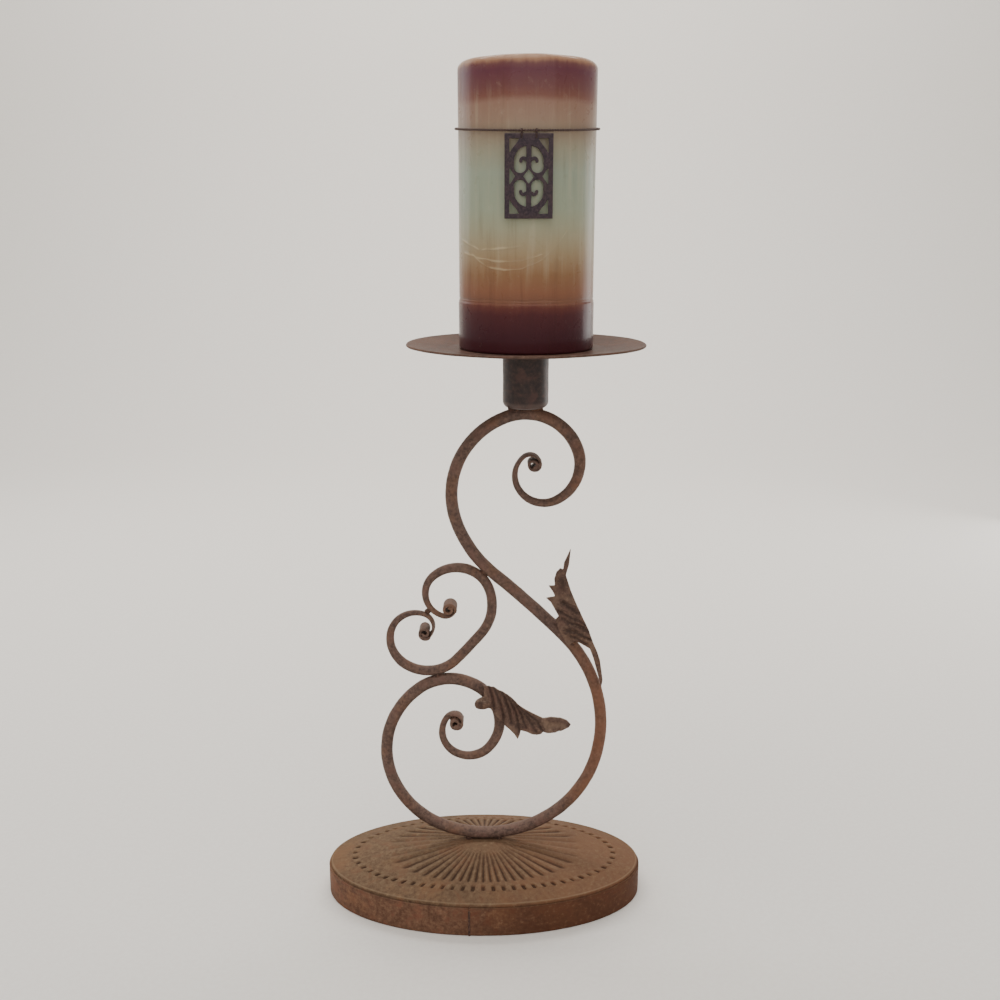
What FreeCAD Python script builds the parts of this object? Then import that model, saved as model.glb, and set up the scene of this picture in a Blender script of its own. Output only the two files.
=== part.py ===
import FreeCAD, Part
import math
import os

vec = FreeCAD.Vector

# Driving sizes, all in millimetres.
# Frame: x runs along the oval base, y through its depth, z up from the floor.

# pressed oval base
base_length = 264.0
base_width = 137.0
skirt_height = 25.0
skirt_wall = 3.0
seam_gap = 0.8
seam_offset = 11.0
seam_bead_radius = 1.3
seam_proud = 0.5
cover_rise = 21.0
cover_wall = 2.0
cover_edge = 2.0
cover_inset = 1.5
flute_count = 48
flute_inner_radius = 1.0
flute_outer_radius = 2.6
# semi-axes as shares of the cover's own, height as a share of its rise
flute_outer_shares = (0.60, 0.68, 0.45)
flute_inner_shares = (0.17, 0.27, 0.90)
cover_ring_shares = (
    (1.0, 1.0, 0.0),
    (0.92, 0.90, 0.13),
    (0.80, 0.80, 0.27),
    flute_outer_shares,
    (0.40, 0.48, 0.66),
    flute_inner_shares,
    (0.12, 0.17, 0.97),
    (0.06, 0.09, 1.0),
)

# bar stock
stem_bar = 9.6
heart_bar = 8.0
stem_tip = 5.0
heart_tip = 4.2
roll_width = 15.0
roll_wall = 2.0
roll_radius = 4.6
# the flare's ellipses, as shares of the round tip where it starts and of the ribbon where it ends
flare_start_shares = (1.01, 1.03)
flare_end_shares = (0.95, 0.97)
# the rolled tip winds in by this much each half turn
roll_step = 1.4
roll_angles = (180.0, 180.0, 150.0)

# main scroll: arc radii as shares of the loop size, turns in degrees
loop_size = 80.0
stem_start_angle = 112.0
stem_arc_shares = (
    (0.103, 111.8),
    (0.250, 58.7),
    (0.282, 104.9),
    (0.406, 83.5),
    (0.538, 90.3),
    (0.821, 87.0),
    (1.208, 31.7),
    (9.501, -5.8),
    (1.418, -59.7),
    (1.185, -90.2),
    (0.965, -61.3),
    (0.877, -66.8),
    (0.518, -96.6),
    (0.434, -74.6),
    (0.273, -173.7),
    (0.085, -131.9),
)
stem_taper_arcs = 4
stem_tail_arcs = 3
stem_fishtail_arcs = (2, 1)

# heart scroll, seated between the stem and the top of its loop
heart_size = 80.0
heart_start_angle = -110.6
heart_start_shares = (-0.271, 2.500)
heart_arc_shares = (
    (0.108, -90.2),
    (0.248, -120.9),
    (0.363, -48.2),
    (0.330, -57.2),
    (0.480, -62.9),
    (5.504, -4.0),
    (0.380, -41.3),
    (0.434, -33.3),
    (0.335, -73.1),
    (0.261, -97.9),
    (0.136, -113.4),
)
heart_taper_arcs = 3
heart_tail_arcs = 3
heart_fishtail_arcs = (1, 1)
bar_clearance = 0.1
seat_rounds = 12
walk_step = 3.0

# weld beads
weld_radius = 3.6
weld_spacing = 24.0
weld_lift = 0.6
cup_weld_length = 27.0
cup_weld_width = 11.0
cup_weld_height = 2.6
cup_weld_rise = 0.6
plate_weld_leg = 2.4
leaf_weld_radius = 3.0
volute_weld_radius = 2.4
upper_leaf_weld_shares = (0.36, 0.12)
lower_leaf_weld_shares = (0.30, -0.20)

# cup and drip plate
cup_diameter = 35.0
cup_height = 43.5
cup_wall = 1.6
cup_round = 5.0
plate_diameter = 180.0
plate_wall = 1.6
plate_floor_diameter = 118.0
plate_rise = 4.4
plate_round = 10.0

# candle
candle_diameter = 99.6
candle_height = 200.0
candle_shoulder = 4.0
candle_foot = 1.2
dip_height = 36.0
dip_proud = 0.6
pool_depth = 3.2
pool_margin = 9.0
wick_diameter = 2.2
wick_length = 5.0
tab_diameter = 20.0
tab_thickness = 0.8
tab_neck_diameter = 5.0
tab_neck_height = 4.0

# wire ring and pendant
wire_diameter = 1.6
ring_front_gap = 0.7
ring_back_gap = 0.15
ring_tilt_angle = 6.0
ring_drop = 44.0
pendant_width = 33.0
pendant_height = 55.4
pendant_thickness = 1.8
pendant_frame = 3.3
pendant_bar = 3.5
pendant_gap = 0.3
pendant_hang = 1.9
hanger_spacing = 10.0
hanger_width = 1.4
hanger_wall = 0.4
hanger_gap = 0.12
# the pierced work: radii are shares of half the pendant's width, places of half its width and height
arch_place_shares = (0.0, 0.361)
arch_radius_share = 0.60
spandrel_radius_share = 0.84
spandrel_shares = (0.41, 0.365)
lobe_place_shares = (-0.357, 0.233)
lobe_radius_share = 0.255
claw_place_shares = (-0.218, 0.357)
claw_radius_share = 0.115
claw_stroke_share = 0.14
diamond_shares = (0.225, 0.173)
side_notch_shares = (0.24, 0.20)

# acanthus leaves: length, bend and gauge
leaf_wall = 1.6
leaf_cup_radius = 38.0
leaf_vein_radius = 1.5
leaf_vein_depth = 0.7
leaf_vein_strokes = 3
leaf_hollow_radius = 9.0
leaf_hollow_depth = 0.9
leaf_curl_radius = 3.6
leaf_clearance = 0.15
upper_leaf_length = 121.0
upper_leaf_angle = 102.6
upper_leaf_root_shares = (1.195, 1.708)
lower_leaf_length = 85.5
lower_leaf_angle = -31.9
lower_leaf_root_shares = (-0.011, 1.854)
# outlines from the root, as shares of the leaf's length: along it and to its left
upper_leaf_shares = (
    (0.0, 0.0), (0.105, 0.005), (0.215, 0.01), (0.29, 0.02), (0.34, 0.07), (0.37, 0.105),
    (0.34, 0.16), (0.40, 0.175), (0.465, 0.195), (0.54, 0.20), (0.56, 0.175), (0.665, 0.205),
    (0.70, 0.23), (0.70, 0.17), (0.73, 0.175), (0.78, 0.195), (0.775, 0.155), (0.82, 0.15),
    (0.865, 0.125), (0.885, 0.095), (0.87, 0.08), (0.915, 0.065), (1.0, 0.0), (0.895, 0.035),
    (0.83, 0.07), (0.72, 0.06), (0.63, 0.045), (0.53, 0.025), (0.415, 0.0), (0.325, -0.01),
    (0.245, -0.025), (0.185, -0.03), (0.11, -0.025), (0.045, -0.02),
)
lower_leaf_shares = (
    (0.075, -0.085), (0.16, -0.055), (0.28, -0.05), (0.36, -0.055), (0.42, -0.07),
    (0.465, -0.085), (0.555, -0.085), (0.645, -0.08), (0.725, -0.075), (0.79, -0.03), (0.875, 0.005),
    (0.945, 0.015), (1.0, 0.0), (0.995, -0.03), (0.95, -0.09), (0.90, -0.14), (0.84, -0.18),
    (0.805, -0.19), (0.80, -0.215), (0.77, -0.25), (0.72, -0.27), (0.67, -0.275), (0.615, -0.29),
    (0.63, -0.33), (0.645, -0.395), (0.585, -0.36), (0.52, -0.34), (0.455, -0.33), (0.375, -0.30),
    (0.315, -0.285), (0.25, -0.25), (0.19, -0.265), (0.135, -0.235), (0.13, -0.18), (0.105, -0.135),
)
# each groove runs from one such place to another
upper_vein_shares = (
    (0.595, 0.05, 0.655, 0.135), (0.515, 0.035, 0.59, 0.14), (0.44, 0.02, 0.54, 0.145),
    (0.395, 0.015, 0.46, 0.135), (0.345, 0.005, 0.405, 0.11),
)
lower_vein_shares = (
    (0.05, -0.04, 0.185, -0.195), (0.135, -0.06, 0.30, -0.245), (0.22, -0.06, 0.415, -0.275),
    (0.30, -0.08, 0.505, -0.26), (0.375, -0.075, 0.55, -0.23), (0.455, -0.095, 0.625, -0.20),
    (0.55, -0.11, 0.74, -0.19),
)
lower_hollow_shares = (0.81, -0.10, 0.93, -0.055)
lower_curl_shares = (0.205, -0.22, 0.135, -0.275)

overrun = 2.0
half = 0.5
circle = 360.0


# Plane paths made of tangent arcs.

def walk(start, heading, arc_shares, size):
    x, z = start
    angle = math.radians(heading)
    arcs = []
    for radius_share, turn in arc_shares:
        radius = radius_share * size
        side = math.copysign(1, turn)
        centre = (x - side * radius * math.sin(angle), z + side * radius * math.cos(angle))
        arc = {"centre": centre, "radius": radius, "side": side, "angle": angle, "turn": math.radians(turn)}
        arcs.append(arc)
        angle += arc["turn"]
        x, z = arc_point(arc, angle)
    return arcs


def arc_point(arc, angle):
    reach = arc["side"] * arc["radius"]
    return arc["centre"][0] + reach * math.sin(angle), arc["centre"][1] - reach * math.cos(angle)


def path_points(arcs):
    points = []
    for arc in arcs:
        steps = max(2, int(abs(math.degrees(arc["turn"])) / walk_step))
        for step in range(steps):
            points.append(arc_point(arc, arc["angle"] + arc["turn"] * step / steps))
    points.append(arc_point(arcs[-1], arcs[-1]["angle"] + arcs[-1]["turn"]))
    return points


def shift(arcs, dx, dz):
    moved = []
    for arc in arcs:
        arc = dict(arc)
        arc["centre"] = (arc["centre"][0] + dx, arc["centre"][1] + dz)
        moved.append(arc)
    return moved


def nearest(first, second):
    best = None
    for a in first:
        for b in second:
            gap = math.hypot(a[0] - b[0], a[1] - b[1])
            if best is None or gap < best[0]:
                best = (gap, a, b)
    return best


# Bars swept along those paths.

def spot(arc, angle):
    x, z = arc_point(arc, angle)
    return vec(x, 0, z), vec(math.cos(angle), 0, math.sin(angle))


def round_bar(arc, diameter):
    place, along = spot(arc, arc["angle"])
    disc = Part.Face(Part.Wire([Part.makeCircle(diameter * half, place, along)]))
    pivot = vec(arc["centre"][0], 0, arc["centre"][1])
    return disc.revolve(pivot, vec(0, -1, 0), math.degrees(arc["turn"]))


def swept(arcs, sections):
    edges = []
    for arc in arcs:
        ends = [spot(arc, arc["angle"] + arc["turn"] * share)[0] for share in (0, half, 1)]
        edges.append(Part.Arc(*ends).toShape())
    shell = Part.BRepOffsetAPI.MakePipeShell(Part.Wire(edges))
    for section in sections:
        shell.add(section)
    shell.build()
    shell.makeSolid()
    return shell.shape()


def bar_section(arc, angle, wall, width):
    place, along = spot(arc, angle)
    across = vec(0, 1, 0)
    if width == wall:
        return Part.Wire([Part.makeCircle(wall * half, place, along)])
    ring = Part.Ellipse(place + across * (width * half), place + along.cross(across) * (wall * half), place)
    return Part.Wire([ring.toShape()])


def tapered_bar(arcs, first, last):
    end = arcs[-1]
    sections = [bar_section(arcs[0], arcs[0]["angle"], *first), bar_section(end, end["angle"] + end["turn"], *last)]
    return swept(arcs, sections)


def drawn_end(arcs, fishtail_arcs, diameter, tip_diameter):
    round_stock = (diameter, diameter)
    tip = [tip_diameter * share for share in flare_start_shares]
    ribbon = (roll_wall * flare_end_shares[0], roll_width * flare_end_shares[1])
    neck = len(arcs) - fishtail_arcs
    return [tapered_bar(arcs[:neck], round_stock, (tip_diameter, tip_diameter)), tapered_bar(arcs[neck:], tip, ribbon)]


def rolled_tip(place, heading, side):
    ribbons = []
    x, z = place
    angle = heading
    radius = roll_radius
    for turn in roll_angles:
        centre = (x - side * radius * math.sin(angle), z + side * radius * math.cos(angle))
        arc = {"centre": centre, "radius": radius, "side": side, "angle": angle, "turn": side * math.radians(turn)}
        point, along = spot(arc, angle)
        out = vec(point.x - centre[0], 0, point.z - centre[1]).normalize()
        across = vec(0, roll_width * half, 0)
        rise = out * (roll_wall * half)
        corners = [point + across + rise, point - across + rise, point - across - rise, point + across - rise]
        strip = Part.Face(Part.makePolygon(corners + corners[:1]))
        ribbons.append(strip.revolve(vec(centre[0], 0, centre[1]), vec(0, -1, 0), math.degrees(arc["turn"])))
        angle += arc["turn"]
        x, z = arc_point(arc, angle)
        radius = radius - roll_step
    return ribbons


def turned_about(arcs):
    back = []
    for arc in reversed(arcs):
        flipped = dict(arc)
        flipped["angle"] = arc["angle"] + arc["turn"] + math.pi
        flipped["turn"] = -arc["turn"]
        flipped["side"] = -arc["side"]
        back.append(flipped)
    return back


def scroll(arcs, taper_arcs, tail_arcs, fishtail_arcs, diameter, tip_diameter):
    pieces = [round_bar(arc, diameter) for arc in arcs[taper_arcs:len(arcs) - tail_arcs]]
    for path, drawn, flared in ((turned_about(arcs), taper_arcs, fishtail_arcs[0]), (arcs, tail_arcs, fishtail_arcs[1])):
        pieces += drawn_end(path[-drawn:], flared, diameter, tip_diameter)
        last = path[-1]
        end = last["angle"] + last["turn"]
        pieces += rolled_tip(arc_point(last, end), end, last["side"])
    return pieces[0].multiFuse(pieces[1:])


# The pressed oval base.

def oval(half_length, half_width, z, grow=0.0):
    ellipse = Part.Ellipse(vec(0, 0, z), half_length + grow, half_width + grow)
    return Part.Wire([ellipse.toShape()])


def base_skirt():
    outer = Part.Face(oval(base_length * half, base_width * half, 0)).extrude(vec(0, 0, skirt_height))
    inner_oval = oval(base_length * half, base_width * half, -overrun, -skirt_wall)
    inner = Part.Face(inner_oval).extrude(vec(0, 0, skirt_height + overrun + overrun))
    slot = Part.makeBox(seam_gap, base_width, skirt_height + overrun + overrun,
                        vec(-seam_offset - seam_gap * half, -base_width, -overrun))
    return outer.cut(inner).cut(slot)


def skirt_front(x, inset):
    reach = 1 - (x / (base_length * half - inset)) ** 2
    return (base_width * half - inset) * math.sqrt(reach)


def seam_weld():
    y = -skirt_front(seam_offset, 0)
    bead = Part.makeCylinder(seam_bead_radius, skirt_height - overrun, vec(-seam_offset, y - seam_proud + seam_bead_radius, 0))
    return bead.cut(base_skirt())


def cover_dome(inset):
    half_length = base_length * half - cover_inset
    half_width = base_width * half - cover_inset
    wires = []
    for length_share, width_share, rise_share in cover_ring_shares:
        z = ring_height(rise_share) - inset
        wires.append(oval(half_length * length_share, half_width * width_share, z, -inset * length_share))
    dome = Part.makeLoft(wires, True, False)
    low = wires[0].BoundBox.ZMin
    edge = Part.Face(oval(half_length, half_width, skirt_height - inset, -inset))
    return dome.fuse(edge.extrude(vec(0, 0, low - skirt_height + inset)))


def ring_height(rise_share):
    return skirt_height + cover_edge + (cover_rise - cover_edge) * rise_share


def ring_point(angle, ring_shares, lift):
    long_side = (base_length * half - cover_inset) * ring_shares[0]
    short_side = (base_width * half - cover_inset) * ring_shares[1]
    reach = long_side * short_side / math.hypot(short_side * math.cos(angle), long_side * math.sin(angle))
    return vec(reach * math.cos(angle), reach * math.sin(angle), ring_height(ring_shares[2]) + lift)


def flute(angle):
    start = ring_point(angle, flute_inner_shares, flute_inner_radius * half)
    end = ring_point(angle, flute_outer_shares, flute_outer_radius * half)
    run = end - start
    return Part.makeCone(flute_inner_radius, flute_outer_radius, run.Length, start, run)


def base_cover():
    flutes = [flute(2 * math.pi * step / flute_count) for step in range(flute_count)]
    return cover_dome(0).cut(cover_dome(cover_wall)).cut(flutes)


cover_top = skirt_height + cover_rise


# The stem, the heart and their places.

def stem_path():
    arcs = walk((0, 0), stem_start_angle, stem_arc_shares, loop_size)
    low = min(path_points(arcs), key=lambda point: point[1])
    return shift(arcs, -low[0], cover_top + stem_bar * half - low[1])


def stem_top(arcs):
    return max(path_points(arcs), key=lambda point: point[1])


def heart_path(stem_arcs):
    low = cover_top + stem_bar * half
    start = (heart_start_shares[0] * loop_size, low + heart_start_shares[1] * loop_size)
    arcs = walk(start, heart_start_angle, heart_arc_shares, heart_size)
    reach = (stem_bar + heart_bar) * half + bar_clearance
    points = path_points(stem_arcs)
    middle = len(stem_arcs) // 2
    upper = path_points(stem_arcs[middle - 2:middle + 1])
    lower = path_points(stem_arcs[-6:-2])
    for turn in range(seat_rounds):
        placed = path_points(arcs)
        gap_a, on_a, at_a = nearest(upper, placed)
        gap_b, on_b, at_b = nearest(lower, placed)
        ax, az = (at_a[0] - on_a[0]) / gap_a, (at_a[1] - on_a[1]) / gap_a
        bx, bz = (at_b[0] - on_b[0]) / gap_b, (at_b[1] - on_b[1]) / gap_b
        det = ax * bz - az * bx
        need_a, need_b = reach - gap_a, reach - gap_b
        arcs = shift(arcs, (need_a * bz - need_b * az) / det, (ax * need_b - bx * need_a) / det)
    return arcs, (on_a, at_a), (on_b, at_b)


def bead_between(on, at, radius, cutters):
    centre = vec((on[0] + at[0]) * half, 0, (on[1] + at[1]) * half)
    bead = Part.makeSphere(radius, centre)
    for cutter in cutters:
        bead = bead.cut(cutter)
    return bead


def wedge_weld(x, stem, dome):
    reach = loop_size * stem_arc_shares[9][0]
    lift = (x * x) / (reach + reach)
    bead = Part.makeSphere(weld_radius, vec(x, 0, cover_top - weld_lift + lift * half))
    bead = bead.cut(stem).cut(dome)
    return biggest(bead)


def biggest(shape):
    return max(shape.Solids, key=lambda solid: solid.Volume)


# The cup and the drip plate.

def ring_profile(points):
    return Part.Face(Part.makePolygon([vec(x, 0, z) for x, z in points + points[:1]]))


def revolved(points, centre):
    solid = ring_profile(points).revolve(vec(0, 0, 0), vec(0, 0, 1), circle)
    solid.translate(centre)
    return solid


def candle_cup(centre):
    radius = cup_diameter * half
    outer = Part.makeCylinder(radius, cup_height)
    outer = outer.makeFillet(cup_round, [edge for edge in outer.Edges if edge.BoundBox.ZMax < cup_wall])
    inner = Part.makeCylinder(radius - cup_wall, cup_height, vec(0, 0, cup_wall))
    foot = [edge for edge in inner.Edges if edge.BoundBox.ZMax < cup_wall + cup_wall * half]
    inner = inner.makeFillet(cup_round - cup_wall, foot)
    cup = outer.cut(inner)
    cup.translate(centre)
    return cup


def drip_plate(centre):
    floor = plate_floor_diameter * half
    rim = plate_diameter * half
    slope = math.atan2(plate_rise, rim - floor)
    along = vec(math.cos(slope), 0, math.sin(slope))
    bend = vec(floor, 0, plate_wall + plate_round)
    skins = []
    for radius in (plate_round + plate_wall, plate_round):
        start = bend - vec(0, 0, radius)
        middle = bend + vec(math.sin(slope * half), 0, -math.cos(slope * half)) * radius
        end = bend + vec(math.sin(slope), 0, -math.cos(slope)) * radius
        edge = end + along * ((rim - plate_wall * half - end.x) / along.x)
        skins.append((start, middle, end, edge))
    under, over = skins
    lip = (under[3] + over[3]) * half + along * (plate_wall * half)
    outline = [Part.LineSegment(vec(0, 0, 0), under[0]), Part.Arc(*under[:3]), Part.LineSegment(*under[2:])]
    outline.append(Part.Arc(under[3], lip, over[3]))
    outline += [Part.LineSegment(over[3], over[2]), Part.Arc(over[2], over[1], over[0])]
    outline += [Part.LineSegment(over[0], vec(0, 0, plate_wall)), Part.LineSegment(vec(0, 0, plate_wall), vec(0, 0, 0))]
    face = Part.Face(Part.Wire([edge.toShape() for edge in outline]))
    plate = face.revolve(vec(0, 0, 0), vec(0, 0, 1), circle)
    plate.translate(centre)
    return plate


def cup_weld(foot, stem, cup):
    rim = oval(cup_weld_length * half, cup_weld_width * half, -cup_weld_height)
    bead = Part.Face(rim).extrude(vec(0, 0, cup_weld_height + cup_weld_rise))
    bead.translate(foot)
    return biggest(bead.cut(stem).cut(cup))


def plate_weld(centre):
    radius = cup_diameter * half
    points = [(radius, 0), (radius + plate_weld_leg, 0), (radius, -plate_weld_leg)]
    return revolved(points, centre)


# The candle, its wick and the wick's tab.

def candle_body(centre):
    radius = candle_diameter * half
    dip = radius + dip_proud
    bore = wick_diameter * half
    tab = tab_diameter * half
    neck = tab_neck_diameter * half
    top = candle_height
    pool = radius - pool_margin
    shoulder = top - candle_shoulder
    face = [Part.LineSegment(vec(tab, 0, 0), vec(dip - candle_foot, 0, 0))]
    turn = vec(dip - candle_foot + candle_foot * math.sqrt(half), 0, candle_foot - candle_foot * math.sqrt(half))
    face.append(Part.Arc(vec(dip - candle_foot, 0, 0), turn, vec(dip, 0, candle_foot)))
    face.append(Part.LineSegment(vec(dip, 0, candle_foot), vec(dip, 0, dip_height - dip_proud)))
    face.append(Part.LineSegment(vec(dip, 0, dip_height - dip_proud), vec(radius, 0, dip_height)))
    face.append(Part.LineSegment(vec(radius, 0, dip_height), vec(radius, 0, shoulder)))
    bend = candle_shoulder * math.sqrt(half)
    turn = vec(radius - candle_shoulder + bend, 0, shoulder + bend)
    face.append(Part.Arc(vec(radius, 0, shoulder), turn, vec(radius - candle_shoulder, 0, top)))
    face.append(Part.LineSegment(vec(radius - candle_shoulder, 0, top), vec(pool, 0, top)))
    face.append(Part.LineSegment(vec(pool, 0, top), vec(pool - pool_depth - pool_depth, 0, top - pool_depth)))
    face.append(Part.LineSegment(vec(pool - pool_depth - pool_depth, 0, top - pool_depth), vec(bore, 0, top - pool_depth)))
    face.append(Part.LineSegment(vec(bore, 0, top - pool_depth), vec(bore, 0, tab_thickness + tab_neck_height)))
    face.append(Part.LineSegment(vec(bore, 0, tab_thickness + tab_neck_height), vec(neck, 0, tab_thickness + tab_neck_height)))
    face.append(Part.LineSegment(vec(neck, 0, tab_thickness + tab_neck_height), vec(neck, 0, tab_thickness)))
    face.append(Part.LineSegment(vec(neck, 0, tab_thickness), vec(tab, 0, tab_thickness)))
    face.append(Part.LineSegment(vec(tab, 0, tab_thickness), vec(tab, 0, 0)))
    outline = Part.Wire([edge.toShape() for edge in face])
    body = Part.Face(outline).revolve(vec(0, 0, 0), vec(0, 0, 1), circle)
    body.translate(centre)
    return body


def wick(centre):
    foot = tab_thickness
    length = candle_height - pool_depth + wick_length - foot
    return Part.makeCylinder(wick_diameter * half, length, centre + vec(0, 0, foot))


def wick_tab(centre):
    disc = Part.makeCylinder(tab_diameter * half, tab_thickness, centre)
    neck = Part.makeCylinder(tab_neck_diameter * half, tab_thickness + tab_neck_height, centre)
    return disc.fuse(neck).cut(wick(centre)).removeSplitter()


# The wire ring, the pierced pendant and its straps.

def ring_radius():
    clear = (candle_diameter + wire_diameter + ring_front_gap + ring_back_gap) * half
    return clear / math.cos(math.radians(ring_tilt_angle))


def ring_wire(centre):
    ring = Part.makeTorus(ring_radius(), wire_diameter * half)
    ring.rotate(vec(0, 0, 0), vec(1, 0, 0), ring_tilt_angle)
    ring.translate(centre)
    return ring


def hinge_place(ring_centre):
    radius = ring_radius()
    side = hanger_spacing * half
    reach = math.sqrt(radius * radius - side * side)
    tilt = math.radians(ring_tilt_angle)
    return ring_centre + vec(0, -reach * math.cos(tilt), -reach * math.sin(tilt))


def pendant_spot(shares):
    return pendant_width * half * shares[0], pendant_height * half * shares[1]


def punch_disc(place_shares, radius_share):
    x, z = pendant_spot(place_shares)
    depth = pendant_thickness + overrun + overrun
    return Part.makeCylinder(pendant_width * half * radius_share, depth, vec(x, -overrun, z), vec(0, 1, 0))


def punch_outline(corners):
    points = [vec(x, -overrun, z) for x, z in corners]
    face = Part.Face(Part.makePolygon(points + points[:1]))
    return face.extrude(vec(0, pendant_thickness + overrun + overrun, 0))


def punch_above(shares, edge):
    x, z = pendant_spot(shares)
    wide, tall = pendant_spot((1, 1))
    return punch_outline([(-wide, z), (edge, z), (edge, tall), (-wide, tall)])


def heart_opening():
    above_lobe = (0, lobe_place_shares[1])
    eye = punch_disc(arch_place_shares, arch_radius_share).common(punch_above(above_lobe, -pendant_bar * half))
    lobe = punch_disc(lobe_place_shares, lobe_radius_share)
    claw = punch_disc(claw_place_shares, claw_radius_share + claw_stroke_share * half)
    claw = claw.cut(punch_disc(claw_place_shares, claw_radius_share - claw_stroke_share * half))
    claw = claw.common(punch_above(claw_place_shares, 0))
    tip_place = (claw_place_shares[0] - claw_radius_share, claw_place_shares[1])
    tip = punch_disc(tip_place, claw_stroke_share * half)
    return eye.fuse(lobe).cut(claw).cut(tip)


def corner_opening():
    wide, tall = pendant_spot((1, 1))
    side, top = pendant_frame - wide, tall - pendant_frame
    reach, drop = pendant_spot(spandrel_shares)
    corner = punch_outline([(side, top), (side + reach, top), (side, top - drop)])
    return corner.cut(punch_disc(arch_place_shares, spandrel_radius_share))


def side_opening():
    side = pendant_frame - pendant_width * half
    reach, drop = pendant_spot(side_notch_shares)
    return punch_outline([(side, drop), (side + reach, 0), (side, -drop)])


def pendant_plate():
    wide, tall = pendant_spot((1, 1))
    plate = Part.makeBox(pendant_width, pendant_thickness, pendant_height, vec(-wide, 0, -tall))
    openings = [heart_opening(), corner_opening()]
    openings += [opening.mirror(vec(0, 0, 0), vec(0, 0, 1)) for opening in openings]
    openings.append(side_opening())
    openings += [opening.mirror(vec(0, 0, 0), vec(1, 0, 0)) for opening in openings]
    reach, drop = pendant_spot(diamond_shares)
    openings.append(punch_outline([(-reach, 0), (0, drop), (reach, 0), (0, -drop)]))
    return plate.cut(openings)


def pendant(hinge, centre):
    plate = pendant_plate()
    y = pendant_back(centre) - pendant_thickness
    plate.translate(vec(centre.x, y, hinge.z - pendant_hang - pendant_height * half))
    return biggest(plate)


def pendant_back(centre):
    return centre.y - candle_diameter * half - pendant_gap


def hanger(hinge, centre, side):
    bore = wire_diameter * half + hanger_gap
    outer = bore + hanger_wall
    x = hinge.x + side * hanger_spacing * half - hanger_width * half
    sleeve = Part.makeCylinder(outer, hanger_width, vec(x, hinge.y, hinge.z), vec(1, 0, 0))
    eye = Part.makeCylinder(bore, hanger_width + overrun + overrun, vec(x - overrun, hinge.y, hinge.z), vec(1, 0, 0))
    front = pendant_back(centre) - pendant_thickness
    top = hinge.z - pendant_hang
    stem = Part.makeBox(hanger_width, hanger_wall, hinge.z - top + pendant_frame, vec(x, front - hanger_wall, top - pendant_frame))
    return sleeve.fuse(stem).cut(eye).removeSplitter()


# The pressed leaves.

def leaf_frame(outline_shares, length, turn, root_shares):
    heading = math.radians(turn)
    widths = [w for u, w in outline_shares]
    spread = (max(widths) - min(widths)) * half * length
    sag = leaf_cup_radius - math.sqrt(leaf_cup_radius ** 2 - spread ** 2)
    leaf = {"length": length, "middle": (max(widths) + min(widths)) * half}
    leaf["root"] = vec(root_shares[0] * loop_size, 0, cover_top + stem_bar * half + root_shares[1] * loop_size)
    leaf["along"] = vec(math.cos(heading), 0, math.sin(heading))
    leaf["left"] = vec(-math.sin(heading), 0, math.cos(heading))
    leaf["front"] = -stem_bar * half - leaf_clearance - leaf_wall - sag
    return leaf


def leaf_point(leaf, share, proud):
    u, w = share
    point = leaf["root"] + leaf["along"] * (leaf["length"] * u) + leaf["left"] * (leaf["length"] * w)
    off = (w - leaf["middle"]) * leaf["length"]
    point.y = leaf["front"] + leaf_cup_radius - math.sqrt(leaf_cup_radius ** 2 - off ** 2) - proud
    return point


def leaf_blank(leaf, outline_shares):
    corners = [leaf_point(leaf, share, 0) for share in outline_shares]
    flat = [vec(corner.x, -leaf_cup_radius, corner.z) for corner in corners]
    prism = Part.Face(Part.makePolygon(flat + flat[:1])).extrude(vec(0, leaf_cup_radius, 0))
    start = leaf_point(leaf, (-1, leaf["middle"]), -leaf_cup_radius)
    outer = Part.makeCylinder(leaf_cup_radius, leaf["length"] * 3, start, leaf["along"])
    inner = Part.makeCylinder(leaf_cup_radius - leaf_wall, leaf["length"] * 3, start, leaf["along"])
    return biggest(outer.cut(inner).common(prism))


def leaf_groove(leaf, shares, radius, depth):
    u0, w0, u1, w1 = shares
    steps = [step / leaf_vein_strokes for step in range(leaf_vein_strokes + 1)]
    points = [leaf_point(leaf, (u0 + (u1 - u0) * step, w0 + (w1 - w0) * step), radius - depth) for step in steps]
    strokes = []
    for first, last in zip(points, points[1:]):
        run = last - first
        strokes.append(Part.makeCylinder(radius, run.Length, first, run))
    return strokes


def leaf_curl(leaf, shares, stem):
    first = leaf_point(leaf, shares[:2], -leaf_wall)
    last = leaf_point(leaf, shares[2:], -leaf_wall)
    run = last - first
    roll = Part.makeCylinder(leaf_curl_radius, run.Length, first, run)
    roll = roll.multiFuse([Part.makeSphere(leaf_curl_radius, first), Part.makeSphere(leaf_curl_radius, last)])
    return biggest(roll.cut(stem))


def leaf_blade(leaf, outline_shares, vein_shares):
    strokes = []
    for shares in vein_shares:
        strokes += leaf_groove(leaf, shares, leaf_vein_radius, leaf_vein_depth)
    return biggest(leaf_blank(leaf, outline_shares).cut(strokes))


def leaf_weld(leaf, blade, share, stem):
    start = leaf_point(leaf, share, -leaf_wall * half)
    bead = Part.makeCylinder(leaf_weld_radius, -start.y, start, vec(0, 1, 0))
    bead = bead.cut(stem).cut(blade)
    touching = [solid for solid in bead.Solids if solid.distToShape(blade)[0] < bar_clearance]
    return max(touching, key=lambda solid: solid.Volume)


# The whole holder.

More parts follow.
